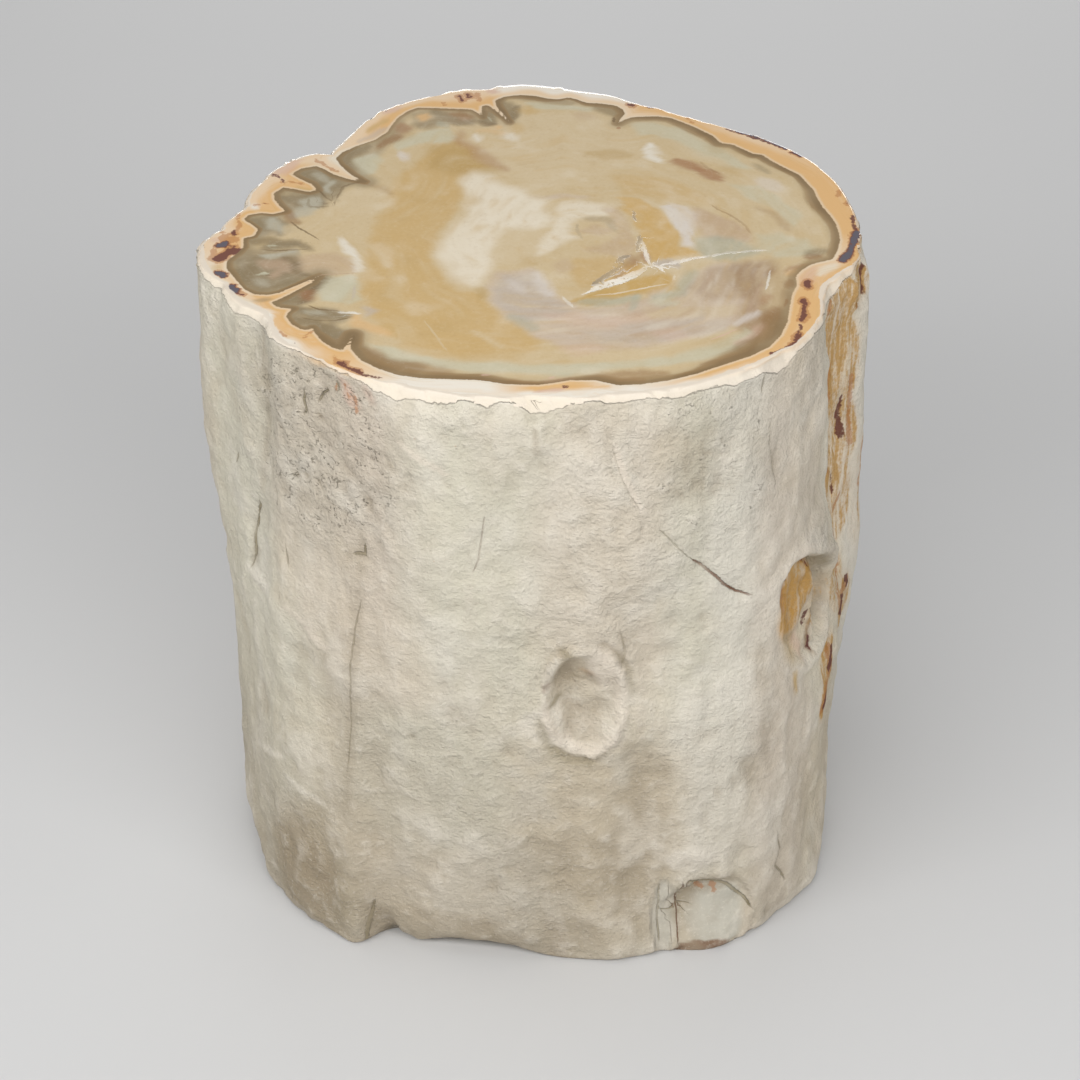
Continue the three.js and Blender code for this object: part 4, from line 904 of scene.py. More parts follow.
# Marks in the rind band: colour, strength, half width, softness, path
bandMarks = [
    ("greyLilac", 0.7, 0.12, 0.25, [(36.9, -3.6), (36.4, -5.2)]),
    ("greyLilac", 0.7, 0.3, 0.4, [(7, 35.2), (10, 34.4), (12, 33)]),
    ("pink", 0.8, 0.5, 0.6, [(-5.4, 35.2), (-4.4, 35)]),
    ("pink", 0.7, 0.4, 0.6, [(-17, 31.2), (-18.2, 29.6)]),
    ("gold", 0.7, 0.35, 0.5, [(-18.4, 27.6), (-19.6, 25.6), (-20.2, 24.6)]),
    ("greyLilac", 0.6, 0.35, 0.5, [(-18.2, 25.6), (-19.6, 23.4), (-21.6, 21.8)]),
    ("pink", 0.7, 0.8, 0.9, [(-28.4, 16.9), (-30, 15.4), (-30.9, 14)]),
    ("peach", 0.7, 0.2, 0.4, [(-25.6, 19.5), (-24.4, 16.6), (-22, 13.6)]),
    ("gold", 0.7, 0.3, 0.5, [(-28, 10.6), (-26.2, 10)]),
    ("white", 0.8, 0.4, 0.5, [(-32.9, 6), (-32.4, 5.6)]),
    ("pink", 0.7, 0.4, 0.5, [(-37, -1.4), (-36.4, -2)]),
    ("gold", 0.5, 0.4, 0.6, [(-36.4, -7.4), (-36.6, -8.2)]),
    ("peach", 0.8, 0.4, 0.5, [(-33.4, -11.6), (-32.4, -13.6), (-31.4, -15)]),
    ("orange", 0.8, 0.25, 0.4, [(-30.8, -15.8), (-29.4, -17)]),
    ("white", 0.9, 0.4, 0.5, [(-31.2, -16.4), (-30.2, -17)]),
    ("olive", 0.5, 0.25, 0.4, [(-31, -15.2), (-29.4, -14.9)]),
    ("orange", 0.8, 0.3, 0.5, [(-28.5, -18.4), (-28.2, -20.4), (-26.8, -22.6)]),
    ("white", 0.9, 0.3, 0.4, [(-29, -18.6), (-29.2, -20.6), (-27.6, -23)]),
    ("orange", 0.75, 0.25, 0.5, [(0.6, -33.6), (3, -32.9), (6, -32.6), (8, -32.9)]),
    ("pink", 0.7, 0.3, 0.4, [(0.8, -33.9), (3.6, -33.1)]),
    ("pink", 0.5, 0.5, 0.6, [(32.4, -8.6), (30.8, -12)]),
    ("cream", 0.8, 0.5, 0.6, [(35, -7.4), (33, -9.6)]),
]

# Crisp spots in the band, as if of ink: which ink, half width, path
cutInks = [
    ("maroon", 0.28, [(37.9, 8), (37.7, 6.8)]),
    ("rust", 0.57, [(37.9, 8), (37.7, 6.8)]),
    ("rust", 0.33, [(36.9, 10), (36.6, 8.6)]),
    ("maroon", 0.26, [(37.8, 3.8), (37.7, 2.4), (37.9, 0.6)]),
    ("slate", 0.36, [(37.9, 0), (37.5, -2.2), (36.9, -4.4), (35.9, -6.4)]),
    ("rust", 0.66, [(37.9, 0), (37.5, -2.2), (36.9, -4.4), (35.9, -6.4)]),
    ("maroon", 0.5, [(37.9, 0), (37.5, -2.2), (36.9, -4.4), (35.9, -6.4)]),
    ("rust", 0.39, [(38.4, 1.6), (38.6, -1.6)]),
    ("slate", 0.2, [(25.2, 24.6), (27, 23.6), (29.6, 21.6), (31, 20.2)]),
    ("rust", 0.42, [(25.2, 24.6), (27, 23.6), (29.6, 21.6), (31, 20.2)]),
    ("maroon", 0.3, [(25.2, 24.6), (27, 23.6), (29.6, 21.6), (31, 20.2)]),
    ("maroon", 0.18, [(24, 25.4), (25.4, 24.2), (28, 22.4), (30.2, 20.5)]),
    ("slate", 0.22, [(32, 19.2), (32.7, 18.5)]),
    ("rust", 0.63, [(32, 19.2), (32.7, 18.5)]),
    ("maroon", 0.47, [(32, 19.2), (32.7, 18.5)]),
    ("maroon", 0.33, [(12.3, 31.8), (12.6, 31.4)]),
    ("rust", 0.63, [(12.3, 31.8), (12.6, 31.4)]),
    ("rust", 0.26, [(14, 31.6), (15.4, 30.9), (17, 30.2)]),
    ("maroon", 0.26, [(14.6, 31.1), (15.3, 30.8)]),
    ("rust", 0.26, [(19.4, 28.2), (20, 27)]),
    ("maroon", 0.33, [(-8.1, 34.6), (-7.8, 33.9)]),
    ("rust", 0.63, [(-8.1, 34.6), (-7.8, 33.9)]),
    ("maroon", 0.28, [(-9.3, 34), (-8.8, 32.8)]),
    ("rust", 0.57, [(-9.3, 34), (-8.8, 32.8)]),
    ("rust", 0.33, [(-11.2, 32.4), (-10.8, 31.8)]),
    ("rust", 0.33, [(-7, 34.6), (-6.6, 32.6)]),
    ("slate", 0.26, [(-18.2, 30)]),
    ("rust", 0.26, [(-26.3, 17.6), (-25, 15.9), (-23.6, 14.4)]),
    ("maroon", 0.26, [(-31.4, 14), (-30.2, 12.7), (-29.6, 12)]),
    ("rust", 0.28, [(-30.2, 11.9), (-29.6, 11.7)]),
    ("rust", 0.26, [(-29.4, 12.1), (-27.6, 11.4)]),
    ("rust", 0.26, [(-33, 6.3), (-32, 6.6), (-31.3, 6.9)]),
    ("maroon", 0.26, [(-31.6, 6.9)]),
    ("rust", 0.28, [(-34.6, 4.6), (-34.9, 3.4), (-34.4, 1.8), (-34.4, 0.4)]),
    ("rust", 0.33, [(-36.6, 0.2), (-35.4, -0.3), (-34.2, -0.2)]),
    ("maroon", 0.26, [(-34.8, 0.3), (-34.6, -0.6)]),
    ("rust", 0.66, [(-36, -1.2), (-34.6, -1.6)]),
    ("slate", 0.44, [(-36.2, -3.1), (-35.5, -2.5)]),
    ("rust", 0.74, [(-36.2, -3.1), (-35.5, -2.5)]),
    ("maroon", 0.58, [(-36.2, -3.1), (-35.5, -2.5)]),
    ("maroon", 0.28, [(-35.2, -3.4), (-34.4, -3.3)]),
    ("rust", 0.57, [(-35.2, -3.4), (-34.4, -3.3)]),
    ("maroon", 0.66, [(-34.2, -4.2), (-35.2, -4.8), (-36, -6)]),
    ("rust", 0.96, [(-34.2, -4.2), (-35.2, -4.8), (-36, -6)]),
    ("maroon", 0.26, [(-34.4, -3.9), (-33.2, -3.8)]),
    ("rust", 0.33, [(-36.8, -4), (-36.9, -6.2)]),
    ("slate", 0.26, [(-38.3, -2.8), (-38.2, -3.4)]),
    ("slate", 0.39, [(-35.9, -9.1), (-35.1, -9.7)]),
    ("rust", 0.69, [(-35.9, -9.1), (-35.1, -9.7)]),
    ("maroon", 0.53, [(-35.9, -9.1), (-35.1, -9.7)]),
    ("rust", 0.26, [(-33.7, -10.6), (-33.3, -10.9)]),
    ("slate", 0.39, [(-34.3, -12.3), (-33.5, -13.3)]),
    ("rust", 0.69, [(-34.3, -12.3), (-33.5, -13.3)]),
    ("maroon", 0.53, [(-34.3, -12.3), (-33.5, -13.3)]),
    ("maroon", 0.28, [(-33.5, -13.4), (-32.8, -14)]),
    ("rust", 0.57, [(-33.5, -13.4), (-32.8, -14)]),
    ("rust", 0.26, [(-27.9, -21.8), (-27.2, -22.8)]),
    ("rust", 0.26, [(-24.4, -21.8), (-25.2, -23.2)]),
    ("maroon", 0.26, [(-26, -24.4)]),
    ("maroon", 0.33, [(-20.9, -28.1), (-19.9, -29.2), (-18.8, -30.3)]),
    ("rust", 0.63, [(-20.9, -28.1), (-19.9, -29.2), (-18.8, -30.3)]),
    ("maroon", 0.26, [(-18.8, -30.3), (-17.6, -30.9), (-16.4, -31.4)]),
    ("rust", 0.26, [(-21.6, -27), (-20.9, -27.8)]),
    ("maroon", 0.26, [(3.4, -33), (4, -33.1)]),
    ("maroon", 0.44, [(31.4, -11.3), (31.4, -12.3)]),
    ("rust", 0.74, [(31.4, -11.3), (31.4, -12.3)]),
    ("slate", 0.26, [(31.6, -12)]),
    ("maroon", 0.33, [(30.8, -15), (30.7, -17), (30.3, -19.4)]),
    ("rust", 0.63, [(30.8, -15), (30.7, -17), (30.3, -19.4)]),
    ("maroon", 0.26, [(30, -20.4), (29.9, -21.6)]),
    ("maroon", 0.33, [(29.7, -22.4), (29.3, -23.8), (28.9, -24.8)]),
    ("rust", 0.63, [(29.7, -22.4), (29.3, -23.8), (28.9, -24.8)]),
    ("maroon", 0.26, [(28.9, -24.8), (27.6, -25.6), (26.2, -26.6)]),
]


# Colours of the rind: colour, strength, angle, height, reach round and up, softness
rindPatches = [
    ("rindGreen", 0.6, 205, 45, 12, 60, 8), ("rindPink", 0.6, 232, 66, 8, 16, 9),
    ("rindPink", 0.5, 245, 40, 4, 30, 7), ("rindGreen", 0.6, 262, 66, 7, 22, 7),
    ("rindPink", 0.55, 284, 62, 7, 20, 5),
    ("rindGreen", 0.6, 303, 64, 5, 26, 5), ("rindPale", 0.7, 309, 66, 4, 24, 4),
    ("rindPink", 0.6, 320, 66, 5, 22, 5),
    ("rindPale", 0.7, 303, 28, 6, 12, 5), ("rindPale", 0.6, 258, 14, 8, 6, 5),
    ("rindPink", 0.5, 315, 44, 2.4, 24, 3),
    ("rindWarm", 0.5, 276, 28, 6, 9, 5), ("rindWarm", 0.7, 286, 20, 6, 14, 5),
    ("rindGreen", 0.6, 250, 28, 8, 9, 6),
    # painted shade: darker down the fold below the front scar, along the crease at 236 degrees and low round
    # the foot
    ("rindShadeAndDirt", 0.55, 290, 18, 2.2, 12, 2.5), ("rindShadeAndDirt", 0.35, 279, 16, 7, 4, 3),
    ("rindShadeAndDirt", 0.3, 236, 30, 3, 18, 4),
    ("groove", 0.75, 227, 7.5, 4.0, 8, 4.5), ("roseBrown", 0.35, 225, 10, 3.4, 6, 4),
    ("rindShadeAndDirt", 0.35, 222, 3, 5, 3, 3),
    ("rindShadeAndDirt", 0.4, 254, 4.5, 9, 2, 3), ("rindShadeAndDirt", 0.3, 270, 5, 8, 3, 3),
    ("rindPink", 0.7, 318, 20, 4, 22, 4),
    ("rindWarm", 0.5, 336, 16, 6, 14, 4), ("rindShadeAndDirt", 0.1, 229, 72, 8, 8, 5),
    ("rindShadeAndDirt", 0.2, 300, 76, 4, 6, 4),
    ("rindShadeAndDirt", 0.25, 266, 78, 3, 4, 4), ("rindShadeAndDirt", 0.3, 211, 78, 3, 4, 3),
    # front scar: darker in the sunk upper left of its dish, painted shade; pale on the lower inner wall and
    # lip, painted highlight
    ("rindWarm", 0.75, 276.2, 45.4, 2.0, 3.6, 1.4), ("rindShadeAndDirt", 0.25, 275.6, 46.2, 1.2, 2.6, 1.4),
    ("rindWarm", 0.45, 279.6, 40.4, 3.0, 2.4, 1.4), ("crust", 0.8, 283.6, 46.6, 1.5, 3.2, 1.2),
    ("chalk", 0.65, 274.4, 38.6, 3.6, 2.0, 1.6), ("chalk", 0.5, 281, 36.2, 3.4, 1.2, 1.6),
    ("chalk", 0.5, 211, 47.0, 3.0, 0.7, 0.8), ("chalk", 0.75, 299.4, 15.8, 2.6, 1.4, 1.0),
    # foot patch: the two groove-coloured patches and the dark patch at 303 degrees are painted shadow, under
    # its arched upper edge and in the recess beside its first block
    ("paleGrey", 0.95, 295.2, 6, 1.2, 6, 0.4), ("groove", 0.4, 299, 7.4, 1.4, 3, 1.2),
    ("paleGrey", 0.95, 304.6, 5.4, 3.0, 4.8, 1.0), ("groove", 0.6, 299.6, 10.4, 1.8, 1.2, 1.0),
    ("rindShadeAndDirt", 0.5, 303, 10.6, 2.8, 1.4, 1.2), ("umber", 0.95, 302, 0.6, 2.9, 0.9, 0.7),
    ("cream", 0.6, 344, 62, 4.6, 16, 1.0), ("cream", 0.7, 349, 44, 3, 6, 2.0),
    # right scar: the groove-coloured patch at 333 degrees is painted shade in its recess under the arch
    ("tan", 0.8, 325, 45, 4.6, 6.4, 2.0), ("groove", 0.65, 333, 48, 2.6, 2.6, 1.6),
    ("orange", 0.75, 317.4, 48, 1.1, 3.4, 1.0), ("brown", 0.5, 319.6, 51.6, 2.0, 2.0, 1.2),
    ("brown", 0.55, 322, 47, 2.4, 4.0, 1.8), ("crust", 0.7, 317.6, 52.6, 0.8, 0.7, 0.6),
    ("rindGreen", 0.8, 322, 52.6, 1.4, 1.2, 0.8), ("cream", 0.6, 329.6, 39.4, 1.6, 1.8, 1.0),
    ("rindWarm", 0.6, 120, 50, 25, 40, 12), ("rindGreen", 0.6, 60, 50, 20, 40, 12),
    ("rindPale", 0.6, 90, 60, 14, 20, 8), ("rindWarm", 0.6, 150, 20, 16, 16, 8),
    ("rindPink", 0.6, 175, 60, 8, 24, 8),
    ("rindWarm", 0.7, 118, 28, 3.6, 4.6, 2), ("pink", 0.3, 75, 14, 8, 8, 5),
    ("rindPink", 0.6, 30, 30, 10, 26, 8),
    ("rindPale", 0.7, 354, 52, 3.4, 30, 3), ("cream", 0.7, 341, 66, 3.6, 22, 1.0),
    ("chalk", 0.5, 216, 0.6, 9, 1.0, 1.0), ("chalk", 0.5, 328, 0.8, 11, 1.2, 1.2),
]

# Thin coloured marks on the rind: colour, strength, half width, softness, path of angle and height
rindMarks = [
    # front scar: the pale lines along its lip are painted highlight; the groove-coloured lines round the lip
    # and on its left are painted shadow
    ("crust", 0.8, 0.6, 0.6, [(272.4, 41.6), (272.6, 38.9), (274.8, 36.4), (278, 34.6), (282.2, 34.4),
        (285, 36.2)]),
    ("crust", 0.6, 0.6, 0.7, [(285, 36.2), (286.2, 39), (286.4, 43), (285.4, 46.2), (283, 48.4)]),
    ("chalk", 0.6, 0.4, 0.6, [(272.6, 43), (273, 45.6), (274.6, 48)]),
    ("groove", 0.6, 0.25, 0.5, [(275.6, 49.2), (277, 48.6)]),
    ("groove", 0.4, 0.3, 0.6, [(288.2, 42.4), (287.4, 46), (285, 48.8)]),
    ("groove", 0.5, 0.4, 0.8, [(271.2, 39), (273, 35.4), (276, 33.2), (281, 32.6)]),
    ("groove", 0.7, 0.25, 0.4, [(273, 40.6), (275.6, 41.6)]), ("umber", 0.5, 0.25, 0.4, [(272.6, 44.4),
        (272.4, 43.4)]),
    ("brown", 0.5, 0.4, 0.5, [(279.4, 45.4), (281.6, 45)]), ("rindShadeAndDirt", 0.6, 0.3, 0.6, [(278, 44.2),
        (282.4, 43.6)]),
    # pale along the ridge beside the groove at 284 degrees: painted highlight
    ("crust", 0.95, 0.28, 0.4, [(284.2, 77.2), (284.9, 75.2), (286.2, 72.4), (287.8, 70.2), (289, 68.6)]),
    # painted shade down the creases near 213 and 236 degrees and the fold below the front scar
    ("rindShadeAndDirt", 0.4, 0.3, 0.8, [(213.4, 82), (214.5, 76), (214, 68), (212, 60)]),
    ("rindShadeAndDirt", 0.35, 0.4, 1.0, [(239, 62), (237.5, 50), (235.6, 34), (235.4, 22)]),
    ("rindShadeAndDirt", 0.3, 0.5, 1.2, [(311, 46), (312, 36), (313, 28)]),
    ("rindShadeAndDirt", 0.3, 0.5, 1.2, [(287, 36), (289, 30), (291, 22)]),
    # pale along the ridges, set a little above their middle lines: painted highlight on their upper edges
    ("crust", 0.6, 0.25, 0.4, [(246.6, 76.9), (250.7, 75.5), (253.6, 74.3), (255.8, 73.6)]),
    ("crust", 0.6, 0.3, 0.4, [(221.7, 47.3), (226, 46.6), (228.9, 45.1), (231.5, 44.7)]),
    ("chalk", 0.5, 0.3, 0.5, [(210.7, 22.3), (220.9, 25)]), ("chalk", 0.4, 0.3, 0.5, [(221.8, 22.4),
        (230, 20.9)]),
    ("pink", 0.6, 0.5, 0.8, [(235.4, 82), (237, 80.4), (238.4, 79.2)]),
    ("pink", 0.5, 0.4, 0.8, [(240.4, 82), (241.6, 80.6)]),
    ("rindShadeAndDirt", 0.5, 0.2, 0.4, [(270.6, 79.6), (271, 76.4)]), ("rindShadeAndDirt", 0.3, 0.3, 0.6, [(283, 79.4),
        (283.4, 74)]),
    ("rindShadeAndDirt", 0.3, 0.2, 0.5, [(296, 78), (296.4, 72)]), ("rindShadeAndDirt", 0.3, 0.2, 0.5, [(299, 76),
        (299.4, 70)]),
    ("brown", 0.9, 0.4, 0.5, [(321.4, 53.6), (324.4, 52), (328, 49), (330, 46.4)]),
    ("brown", 0.8, 0.5, 0.6, [(329, 42.4), (328, 40), (328.2, 37.4)]),
    ("redBrown", 0.8, 0.5, 0.7, [(316.4, 51.6), (317, 48)]), ("thread", 0.9, 0.6, 0.7, [(330.4, 44),
        (334, 42)]),
    ("crust", 0.8, 0.4, 0.5, [(315.6, 54.2), (319, 55.2), (323, 55), (327.4, 53)]),
    ("crust", 0.5, 0.4, 0.6, [(331, 51.4), (335, 49.4), (338.6, 46.6)]),
    ("gold", 0.8, 0.4, 0.6, [(320.4, 37.4), (321, 35)]), ("pink", 0.5, 0.5, 0.8, [(322, 42), (325, 38)]),
    # painted shade in the recess under the right scar's arch
    ("rindShadeAndDirt", 0.6, 0.3, 0.5, [(333.4, 46), (334.6, 43)]),
]

# Ink-like spots on band and rind: which ink, half width, path; on the rind the path is of angle and height
rindSpotsOfInk = [
    ("rust", 0.35, [(338.4, 82.4), (336.6, 78), (336.4, 72)]), ("rust", 0.3, [(340, 76), (340.6, 70)]),
    ("rust", 0.35, [(342.4, 72), (342, 66)]), ("maroon", 0.3, [(336.4, 68), (338.4, 62)]),
    ("rust", 0.4, [(339.4, 60), (342, 56.6)]), ("maroon", 0.3, [(343.3, 56), (344.4, 53)]),
    ("rust", 0.4, [(346.8, 52), (345, 50)]), ("rust", 0.4, [(338.4, 51), (339.4, 47)]),
    ("rust", 0.4, [(345.4, 43), (342.4, 40), (342.2, 37)]), ("maroon", 0.35, [(346, 66), (347, 60)]),
    ("rust", 0.4, [(348.6, 68), (349, 58)]), ("rust", 0.4, [(353.4, 57), (354, 50)]),
    ("maroon", 0.9, [(344.6, 37), (346.6, 34.8)]), ("rust", 0.8, [(345, 38), (350, 37)]),
    ("maroon", 0.5, [(348.4, 38.6), (350.6, 36.4)]), ("maroon", 0.6, [(336.2, 34), (335.2, 31.4)]),
    ("rust", 0.8, [(334.6, 34.6), (336, 30)]), ("rust", 1.1, [(333, 29.4), (332, 27.4)]),
    ("maroon", 0.5, [(333, 28.6), (332.4, 27.2)]), ("maroon", 0.4, [(334.2, 41.2), (333.6, 39.6)]),
    ("maroon", 0.3, [(328.4, 39), (328.2, 37.2)]), ("maroon", 0.25, [(322.4, 53.2), (324.6, 51.6)]),
    ("rust", 0.5, [(330.6, 43.6), (332.6, 42.6)]), ("maroon", 0.25, [(316.4, 53.4), (317, 52.4)]),
    ("maroon", 0.3, [(327, 43.6), (326.4, 41.6)]),
    ("rust", 0.3, [(301.2, 10.8), (302, 9.8)]), ("rust", 0.35, [(303.6, 10.6), (304.6, 9.6), (304.8, 8.4)]),
    ("rust", 0.22, [(253.4, 61.9)]), ("rust", 0.22, [(236.1, 81.4), (236.9, 80)]),
    ("rust", 0.25, [(237.7, 80.7), (239, 78.4)]), ("rust", 0.25, [(234.2, 80.8), (233.8, 80.2)]),
    ("rust", 0.2, [(250.4, 77.6)]), ("rust", 0.2, [(257.2, 77.2)]), ("rust", 0.5, [(350, 80.6),
        (349, 77.6)]),
    ("maroon", 0.35, [(352.4, 81.6), (352.6, 78)]), ("maroon", 0.3, [(118.6, 30), (118, 27)]),
]

# Iron stains in threads down the trunk: strength, angle, height, reach round and up, softness
stains = [
    (0.8, 342.5, 79, 4.0, 4.5, 0.8), (0.85, 344, 70, 4.0, 8, 0.9), (0.8, 344.6, 60, 3.8, 7, 1.0),
    (0.7, 345, 51, 3.4, 6, 1.2), (0.7, 342, 42, 2.6, 5, 1.2), (0.85, 347, 35, 3.2, 4, 1.2),
    (0.8, 335, 32, 2.4, 4, 1.2), (0.95, 332.6, 28, 1.4, 3, 0.9), (0.5, 354, 50, 2.6, 8, 1.6),
    (0.6, 331, 44, 2.2, 4.5, 1.4), (0.75, 334.5, 42, 1.4, 1.2, 1.0), (0.8, 320.6, 48.6, 3.2, 4.6, 1.8),
    (0.85, 350.4, 79.6, 2.2, 2.4, 0.6), (0.35, 20, 50, 1.5, 24, 1.5),
]


def warped(spots, place):  # drawn edges wander a little
    shift = np.column_stack([0.55 * noise(place, 4.0, seed=s) + 0.3 * noise(place, 1.7, seed=s + 1)
                             + 0.12 * noise(place, 0.8, seed=s + 2) for s in (81, 85)])
    return spots + shift


def brush(colours, name, share):
    return colours + (np.array(linear(name)) - colours) * share[:, None]


def brushMarks(colours, marks, spots, place, onRind=False):  # strokes thin out to their ends
    fray = noise(place, 0.8, seed=95)
    for name, strength, width, soft, path in marks:
        distance, _, along = alongPath(spots, rindPath(path) if onRind else path)
        half = width * (0.35 + 0.65 * np.sin(np.pi * np.clip(along, 0, 1)) ** 0.6)
        share = 1 - smooth(distance + 0.3 * width * fray, half - soft * 0.3, half + soft)
        colours = brush(colours, name, strength * share)
    return colours


def ringSpots(spots, inset):  # coordinates that follow the wood's rings, for streaks along them
    away = spots - np.array(pith)
    reach = np.maximum(np.hypot(away[:, 0], away[:, 1]), 0.01)
    level = np.where(inset > 0, ringCount * inset / (inset + reach), 2.2 * inset)
    return np.column_stack([away / reach[:, None] * ringRun, level])


def paintCut(spots, place, angle, rimGap):
    drawn = warped(spots, place)
    inset = insideOutline(spots, innerEdge)
    rings = ringSpots(drawn, inset)
    streak = noise(rings, 1.0, seed=87) + 0.6 * noise(rings, 0.5, seed=88)
    core = np.tile(linear("tan"), (len(spots), 1))
    clouds = noise(place, 3.4, seed=83) + 0.7 * noise(place, 1.5, seed=84) + 0.3 * streak
    for n, (name, strength, soft, outline) in enumerate(cutAreas):
        edge = insideOutline(drawn, outline) + 0.16 * soft * noise(rings, 0.9, seed=100 + n)
        core = brush(core, name, strength * smooth(edge, -soft / 2, soft / 2) * (0.92 + 0.08 * streak))
    for name, strength, outline, seed in streakyAreas:
        inside = smooth(insideOutline(drawn, outline), -1, 2)
        layer = noise(rings * [1, 1, 1.6], 1.0, seed=seed) + 0.5 * noise(rings, 0.45, seed=seed + 1)
        core = brush(core, name, strength * inside * smooth(layer, 0.0, 1.1))
    core = brush(core, "cream", 0.28 * smooth(clouds, 0.2, 1.3))
    core = brush(core, "deepGold", 0.26 * smooth(-clouds, 0.2, 1.3))
    shade = byAngle(angle, edgeLine, 3)
    softShade = byAngle(angle, edgeLine, 4) * (1 - smooth(inset + 0.3 * streak, 0.2, shade))
    core = brush(core, "greyOlive", softShade)
    core = brushMarks(core, cutMarks, drawn, place)

    turns = [row[0] for row in bandColours]
    inner, outer = (np.array([linear(row[n]) for row in bandColours]) for n in (1, 2))
    innerColour = np.column_stack([np.interp(angle, turns, inner[:, c]) for c in range(3)])
    outerColour = np.column_stack([np.interp(angle, turns, outer[:, c]) for c in range(3)])
    across = np.maximum(-inset, 0) / (np.maximum(-inset, 0) + np.maximum(rimGap, 0.05))
    across = smooth(across + 0.18 * noise(place, 2.5, seed=89), 0.25, 0.7)[:, None]
    band = innerColour * (1 - across) + outerColour * across
    band = brush(band, "peach", 0.35 * smooth(streak, 0.0, 1.0))
    band = brushMarks(band, bandMarks, drawn, place)
    return core, band, inset, rings


def paintRind(angle, z, place, sunken):
    colours = np.tile(linear("rind"), (len(z), 1))
    drift = 1.2 * noise(place, 7, seed=91) + 0.5 * noise(place, 2.5, seed=90)
    rise = 1.5 * noise(place, 5, seed=96)
    lengthwise = noise(place * [1, 1, 0.12], 3.2, seed=97) + 0.5 * noise(place * [1, 1, 0.15], 1.4, seed=98)
    colours = brush(colours, "rindPale", 0.5 * smooth(lengthwise, 0.1, 1.0))
    colours = brush(colours, "rindPink", 0.6 * smooth(-lengthwise, 0.1, 1.0))
    for name, strength, at, level, wide, tall, soft in rindPatches:
        small = min(1, soft / 4)
        share = oval(angle + drift * small, z + rise * small, at, level, wide, tall, soft)
        colours = brush(colours, name, strength * share)
    mottle = noise(place * [1, 1, 0.6], 5, seed=92) + 0.6 * noise(place, 2.2, seed=93)
    colours = brush(colours, "rindPale", 0.45 * smooth(mottle, 0.1, 1.0))
    colours = brush(colours, "rindWarm", 0.35 * smooth(-mottle, 0.2, 1.1))
    # painted shade: the rind darker towards the foot
    foot = (1 - smooth(z, 0, 50)) * (0.6 - 0.35 * smooth(angle, 275, 315))
    colours = brush(colours, "rindShadeAndDirt", foot)
    # painted shade in the sunken parts of the relief, and the raised parts paler
    colours = brush(colours, "rindShadeAndDirt", 0.7 * smooth(sunken, 0.10, 0.7))
    colours = brush(colours, "chalk", 0.35 * smooth(-sunken, 0.12, 0.5))
    spots = rindSpots(angle, z)
    drawn = spots + 0.2 * noise(place, 1.5, seed=94)[:, None]
    return brushMarks(colours, rindMarks, drawn, place, onRind=True)


def lineFields(spots, lines, place):  # of the nearest line: signed distance in half widths, strength, colour
    nearest = np.full(len(spots), 9.0)
    signed, shade = np.full(len(spots), 3.0), np.zeros(len(spots))
    colours = np.zeros((len(spots), 3))
    for name, half, strength, path in lines:
        distance, side, along = alongPath(spots, path)
        taper = 0.45 + 0.55 * np.sin(np.pi * np.clip(along, 0, 1)) ** 0.5
        patchy = 0.8 + 0.4 * noise(place, 1.6, seed=99)
        ends = smooth(along, -0.01, 0.06) * smooth(1 - along, -0.01, 0.06)
        closer = distance < nearest
        nearest = np.where(closer, distance, nearest)
        signed = np.where(closer, distance * side / (half * taper), signed)
        shade = np.where(closer, strength * patchy * ends * (1 - smooth(distance, 0.9, 1.6)), shade)
        colours = np.where(closer[:, None], linear(name), colours)
    return signed, shade, colours


def inkFields(spots, marks):  # one column for each ink, 0.5 at the edge of a spot
    fields = np.zeros((len(spots), 3))
    for ink, half, path in marks:
        distance, _, along = alongPath(spots, path)
        reach = (half - distance * (1 - 0.2 * np.sin(9 * along))) / 1.4
        column = ["rust", "maroon", "slate"].index(ink)
        fields[:, column] = np.maximum(fields[:, column], 0.5 + reach)
    return np.clip(fields, 0, 1)


def store(mesh, name, values):
    values = np.asarray(values, float)
    if values.ndim == 1:
        layer = mesh.attributes.new(name, "FLOAT", "POINT")
        layer.data.foreach_set("value", values)
    elif name == "rings":
        layer = mesh.attributes.new(name, "FLOAT_VECTOR", "POINT")
        layer.data.foreach_set("vector", values.ravel())
    else:
        layer = mesh.attributes.new(name, "FLOAT_COLOR", "POINT")
        layer.data.foreach_set("color", np.column_stack([values, np.ones(len(values))]).ravel())


